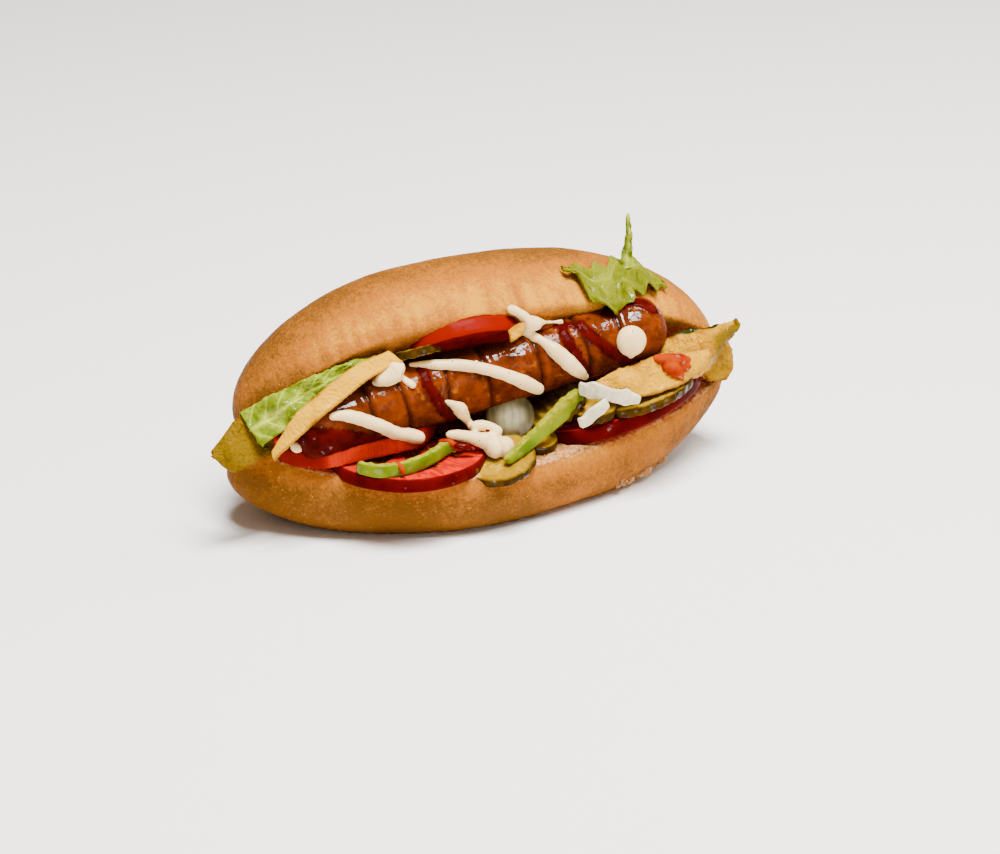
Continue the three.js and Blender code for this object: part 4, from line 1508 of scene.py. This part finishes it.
# %% Leaves
leaf(
    "lettuce_left_leaf",
    ruled(
        [(-83.4, -17, 37.6), (-71.7, -19, 46.3), (-51.3, -15, 57.4), (-42, -14.6, 61.4)],
        [(-88.3, -9, 48), (-68.2, -13, 57.4), (-49.6, -12.5, 61.6), (-41, -13, 63)],
        lambda u, v: 1.1 * np.sin(22 * u + 3 * v) + 0.5 * np.sin(47 * u - 5 * v) * (1 - v),
    ),
    (52, 15), (170, 60), 1.0, replaced=["lettuce_left"],
)


def lettuce_on_lip(u, v):
    rise, loop = np.sin(np.pi * u), np.exp(-(((u - 0.33) / 0.16) ** 2))
    upper = 160 - 24 * np.sin(np.pi * u**3) + 3 * np.sin(31 * u)
    lower = 162 + 14 * rise + 32 * loop + 2.5 * np.sin(37 * u + 1)
    frill = 1.2 * np.sin(26 * u) * (1 - 0.5 * v) + (3 * rise + 3 * loop) * (1 - v) ** 2
    frill = frill + 0.5 * np.sin(61 * u + 3 * v) * (1 - v)
    return crown_surface(lerp(0.29, 0.75, u), np.radians(lerp(lower, upper, v)), 1.8 + frill)


# The right leaf is darkened towards olive-yellow: its own yellower tone and painted shade.
leaf(
    "lettuce_right_leaf", lettuce_on_lip, (46, 18), (200, 80), 2.0, 0.75, replaced=["lettuce_right"],
    dull=0.7,
)
leaf(
    "lettuce_spike",
    ruled(
        [(58, 4.5, 74), (60, 5.5, 84), (60.5, 5, 94)],
        [(64, 4.5, 74), (63, 5.5, 84), (61.5, 5, 94.5)],
        lambda u, v: 0.8 * np.sin(7 * u) + 0.3 * np.sin(23 * u + 4 * v),
    ),
    (20, 4), (80, 30), 3.0, pucker=0.4,
)

# %% [markdown]
# ## Ketchup, juice and crumbs
# Thin sauce and juice have run on from the sausage. A chip of fried crust is caught in the
# mayonnaise.

# %% Ketchup and juice
ketchup = [
    string([(-5.6, -24, 34.6), (-4, -24.4, 33.6), (-2.6, -25, 32)], 1.4, 2.4, 1.6, steps=30),
    string([(-18.4, -28.4, 32), (-14.6, -29.6, 31), (-11.5, -30.4, 29.8)], 1.6, 2.6, 2.0, steps=30),
]
flowed("ketchup_drips", ketchup, 0.35, 4, KETCHUP)

juice = [
    string(
        [(58.6, -23, 50.2), (63.8, -23.2, 49), (68.8, -22.6, 47.6), (75, -21, 46)],
        2.4, 4.8, 5.4, 2.8, steps=50,
    ),
    string([(62, -24, 48), (66.2, -25, 45.4), (69.6, -25.8, 41.6)], 3.8, 5.2, 2.4, steps=40),
    string([(68, -24, 45.4), (73, -22.6, 44.6), (77, -21, 44.6)], 4.6, 4.0, 2.2, steps=40),
    string([(-41.6, -35, 32.6), (-40.8, -37.2, 31), (-40, -37.7, 28.6)], 1.4, 2.2, 1.8, steps=30),
    string([(-23.4, -26, 33.2), (-19.4, -26.8, 32.4), (-16.6, -28, 30.6)], 1.8, 2.8, 1.8, steps=30),
]
flowed("tomato_juice", juice, 0.35, 4, ORANGE_SAUCE)
curled_crisp(
    "crust_chip",
    [(5.6, -20.8, 63.9), (8, -20.6, 64.4), (10.5, -20, 65.4)],
    [(5, -20.2, 67.6), (8.8, -18.6, 69), (12.3, -18, 69)],
    (6, 4), lambda u, v: 0.3 * np.sin(6 * u + 4 * v), 6.0, (40, 28), thickness=0.9, depth=0.2, pale=0.2,
    back=2.0, replaced=(),
)

# %% [markdown]
# ## Crumbs and herbs
# Torn crumb sticks out along the heel's ledge and round its foot, and specks of herb float on
# the mayonnaise. One tree of nodes scatters both: it draws points on a surface where a mask
# allows, sets a small lump at each, and turns every lump its own way.


# %% The scatter tree
def scatter_tree():
    tree = bpy.data.node_groups.new("scatter", "GeometryNodeTree")
    inputs = {
        "Surface": "Geometry", "Per square metre": "Float", "Size": "Float", "Flatness": "Float",
        "Seed": "Int", "Finish": "Material",
    }
    for label, kind in inputs.items():
        tree.interface.new_socket(label, in_out="INPUT", socket_type="NodeSocket" + kind)
    tree.interface.new_socket("Lumps", in_out="OUTPUT", socket_type="NodeSocketGeometry")
    given, out = tree.nodes.new("NodeGroupInput").outputs, tree.nodes.new("NodeGroupOutput")
    size, seed = given["Size"], given["Seed"]

    def node(kind, links, output=0, **settings):
        return put(tree, kind, links, **settings).outputs[output]

    allowed = node("GeometryNodeInputNamedAttribute", {"Name": "allowed"}, "Attribute", data_type="FLOAT")
    density = math_node(tree, "MULTIPLY", allowed, given["Per square metre"])
    where = {"Mesh": given["Surface"], "Density": density, "Seed": seed}
    spread = put(tree, "GeometryNodeDistributePointsOnFaces", where).outputs
    lump = node("GeometryNodeMeshIcoSphere", {"Radius": 0.5, "Subdivisions": 2}, "Mesh")
    flat = node("ShaderNodeCombineXYZ", {"X": 1.0, "Y": 0.8, "Z": given["Flatness"]})
    scale = node("FunctionNodeRandomValue", {2: 0.45, 3: 1.2, "Seed": seed}, 1, data_type="FLOAT")
    whole = vector_node(tree, "SCALE", flat, Scale=math_node(tree, "MULTIPLY", scale, size))
    lumps = {"Points": spread["Points"], "Instance": lump, "Rotation": spread["Rotation"], "Scale": whole}
    placed = node("GeometryNodeInstanceOnPoints", lumps)
    turns = {0: (-0.5, -0.5, -3.1), 1: (0.5, 0.5, 3.1), "Seed": seed}
    spin = node("FunctionNodeRandomValue", turns, data_type="FLOAT_VECTOR")
    spun = node("GeometryNodeRotateInstances", {"Instances": placed, "Rotation": spin})
    real = node("GeometryNodeRealizeInstances", {0: spun})
    cloud = node("ShaderNodeTexNoise", {"Scale": 900.0, "Detail": 1.0}, "Color")
    push = vector_node(tree, "SCALE", vector_node(tree, "SUBTRACT", cloud, (0.5, 0.5, 0.5)), Scale=size)
    moved = node("GeometryNodeSetPosition", {"Geometry": real, "Offset": push})
    covered = node("GeometryNodeSetMaterial", {"Geometry": moved, "Material": given["Finish"]})
    tree.links.new(covered, out.inputs[0])
    return tree


SCATTER = scatter_tree()


def scattered(name, points, faces, allowed, per_square_cm, size, flatness, seed, material):
    """Small lumps on a surface given by points and faces in mm."""
    mesh = new_mesh(name + " surface", points + PLACE, faces)
    mask = mesh.attributes.new("allowed", "FLOAT", "POINT")
    mask.data.foreach_set("value", np.asarray(allowed, dtype=float))
    holder = linked(name + " holder", mesh)
    modifier = holder.modifiers.new("scatter", "NODES")
    modifier.node_group = SCATTER
    values = {
        "Per square metre": per_square_cm * 1e4, "Size": size / METRE, "Flatness": flatness, "Seed": seed,
        "Finish": material,
    }
    for socket in SCATTER.interface.items_tree:
        if socket.in_out == "INPUT" and socket.name in values:
            modifier[socket.identifier] = values[socket.name]
    made = evaluated(holder)
    made.name = name
    declared(name, made)


# %% Crumbs
CRUMBS = finish(
    "crumbs", ["#c89868", ((1.5, 0.4, 0.6), "#a87038")], height=pores(0.8, 1.0), depth_mm=0.3,
    specular_ior_level=0.1, roughness=0.9,
)


def heel_strip(x_from, x_to, turn_from, turn_to, lift):
    """A part of the heel's skin: x along it, turn in degrees round it from its back edge."""
    x, turn = np.meshgrid(np.linspace(x_from, x_to, 120), np.linspace(turn_from, turn_to, 24))
    s = np.clip(station(HEEL, x.ravel()), -0.999, 0.999)
    points = heel_surface(turn.ravel() / 360, np.arccos(-s) / np.pi)
    rows, columns = x.shape
    faces = []
    for j in range(rows - 1):
        for a in range(j * columns, (j + 1) * columns - 1):
            faces.append((a, a + 1, a + 1 + columns, a + columns))
    points[:, 2] += lift
    return points, faces


ledge, ledge_faces = heel_strip(-2, 58, 138, 156, 0.1)
on_ledge = ramp(uneven(ledge, 9, 2, 3.0), -0.25, 0.2)
scattered("ledge_crumbs", ledge, ledge_faces, on_ledge, 30, 0.9, 0.8, 4, CRUMBS)
foot, foot_faces = heel_strip(44, 92, 196, 240, 0.0)
torn = ramp(uneven(foot, 10, 2, 8.0), -0.2, 0.3) * ramp(foot[:, 2], 0.1, 0.5) * ramp(6 - foot[:, 2], 0, 2)
scattered("foot_crumbs", foot, foot_faces, torn, 30, 4.4, 0.6, 6, CRUMBS)

# %% Herbs
HERBS = finish("herbs", ["#26300a", ((1.0, 0.4, 0.6), "#5a5a18")], specular_ior_level=0.2, roughness=0.6)
for sauce, seed in (("strings", 3), ("pool", 9)):
    points, faces = points_of(bpy.data.objects["mayonnaise_" + sauce].data)
    scattered(sauce + "_herbs", points - PLACE, faces, np.ones(len(points)), 1.2, 0.6, 0.5, seed, HERBS)
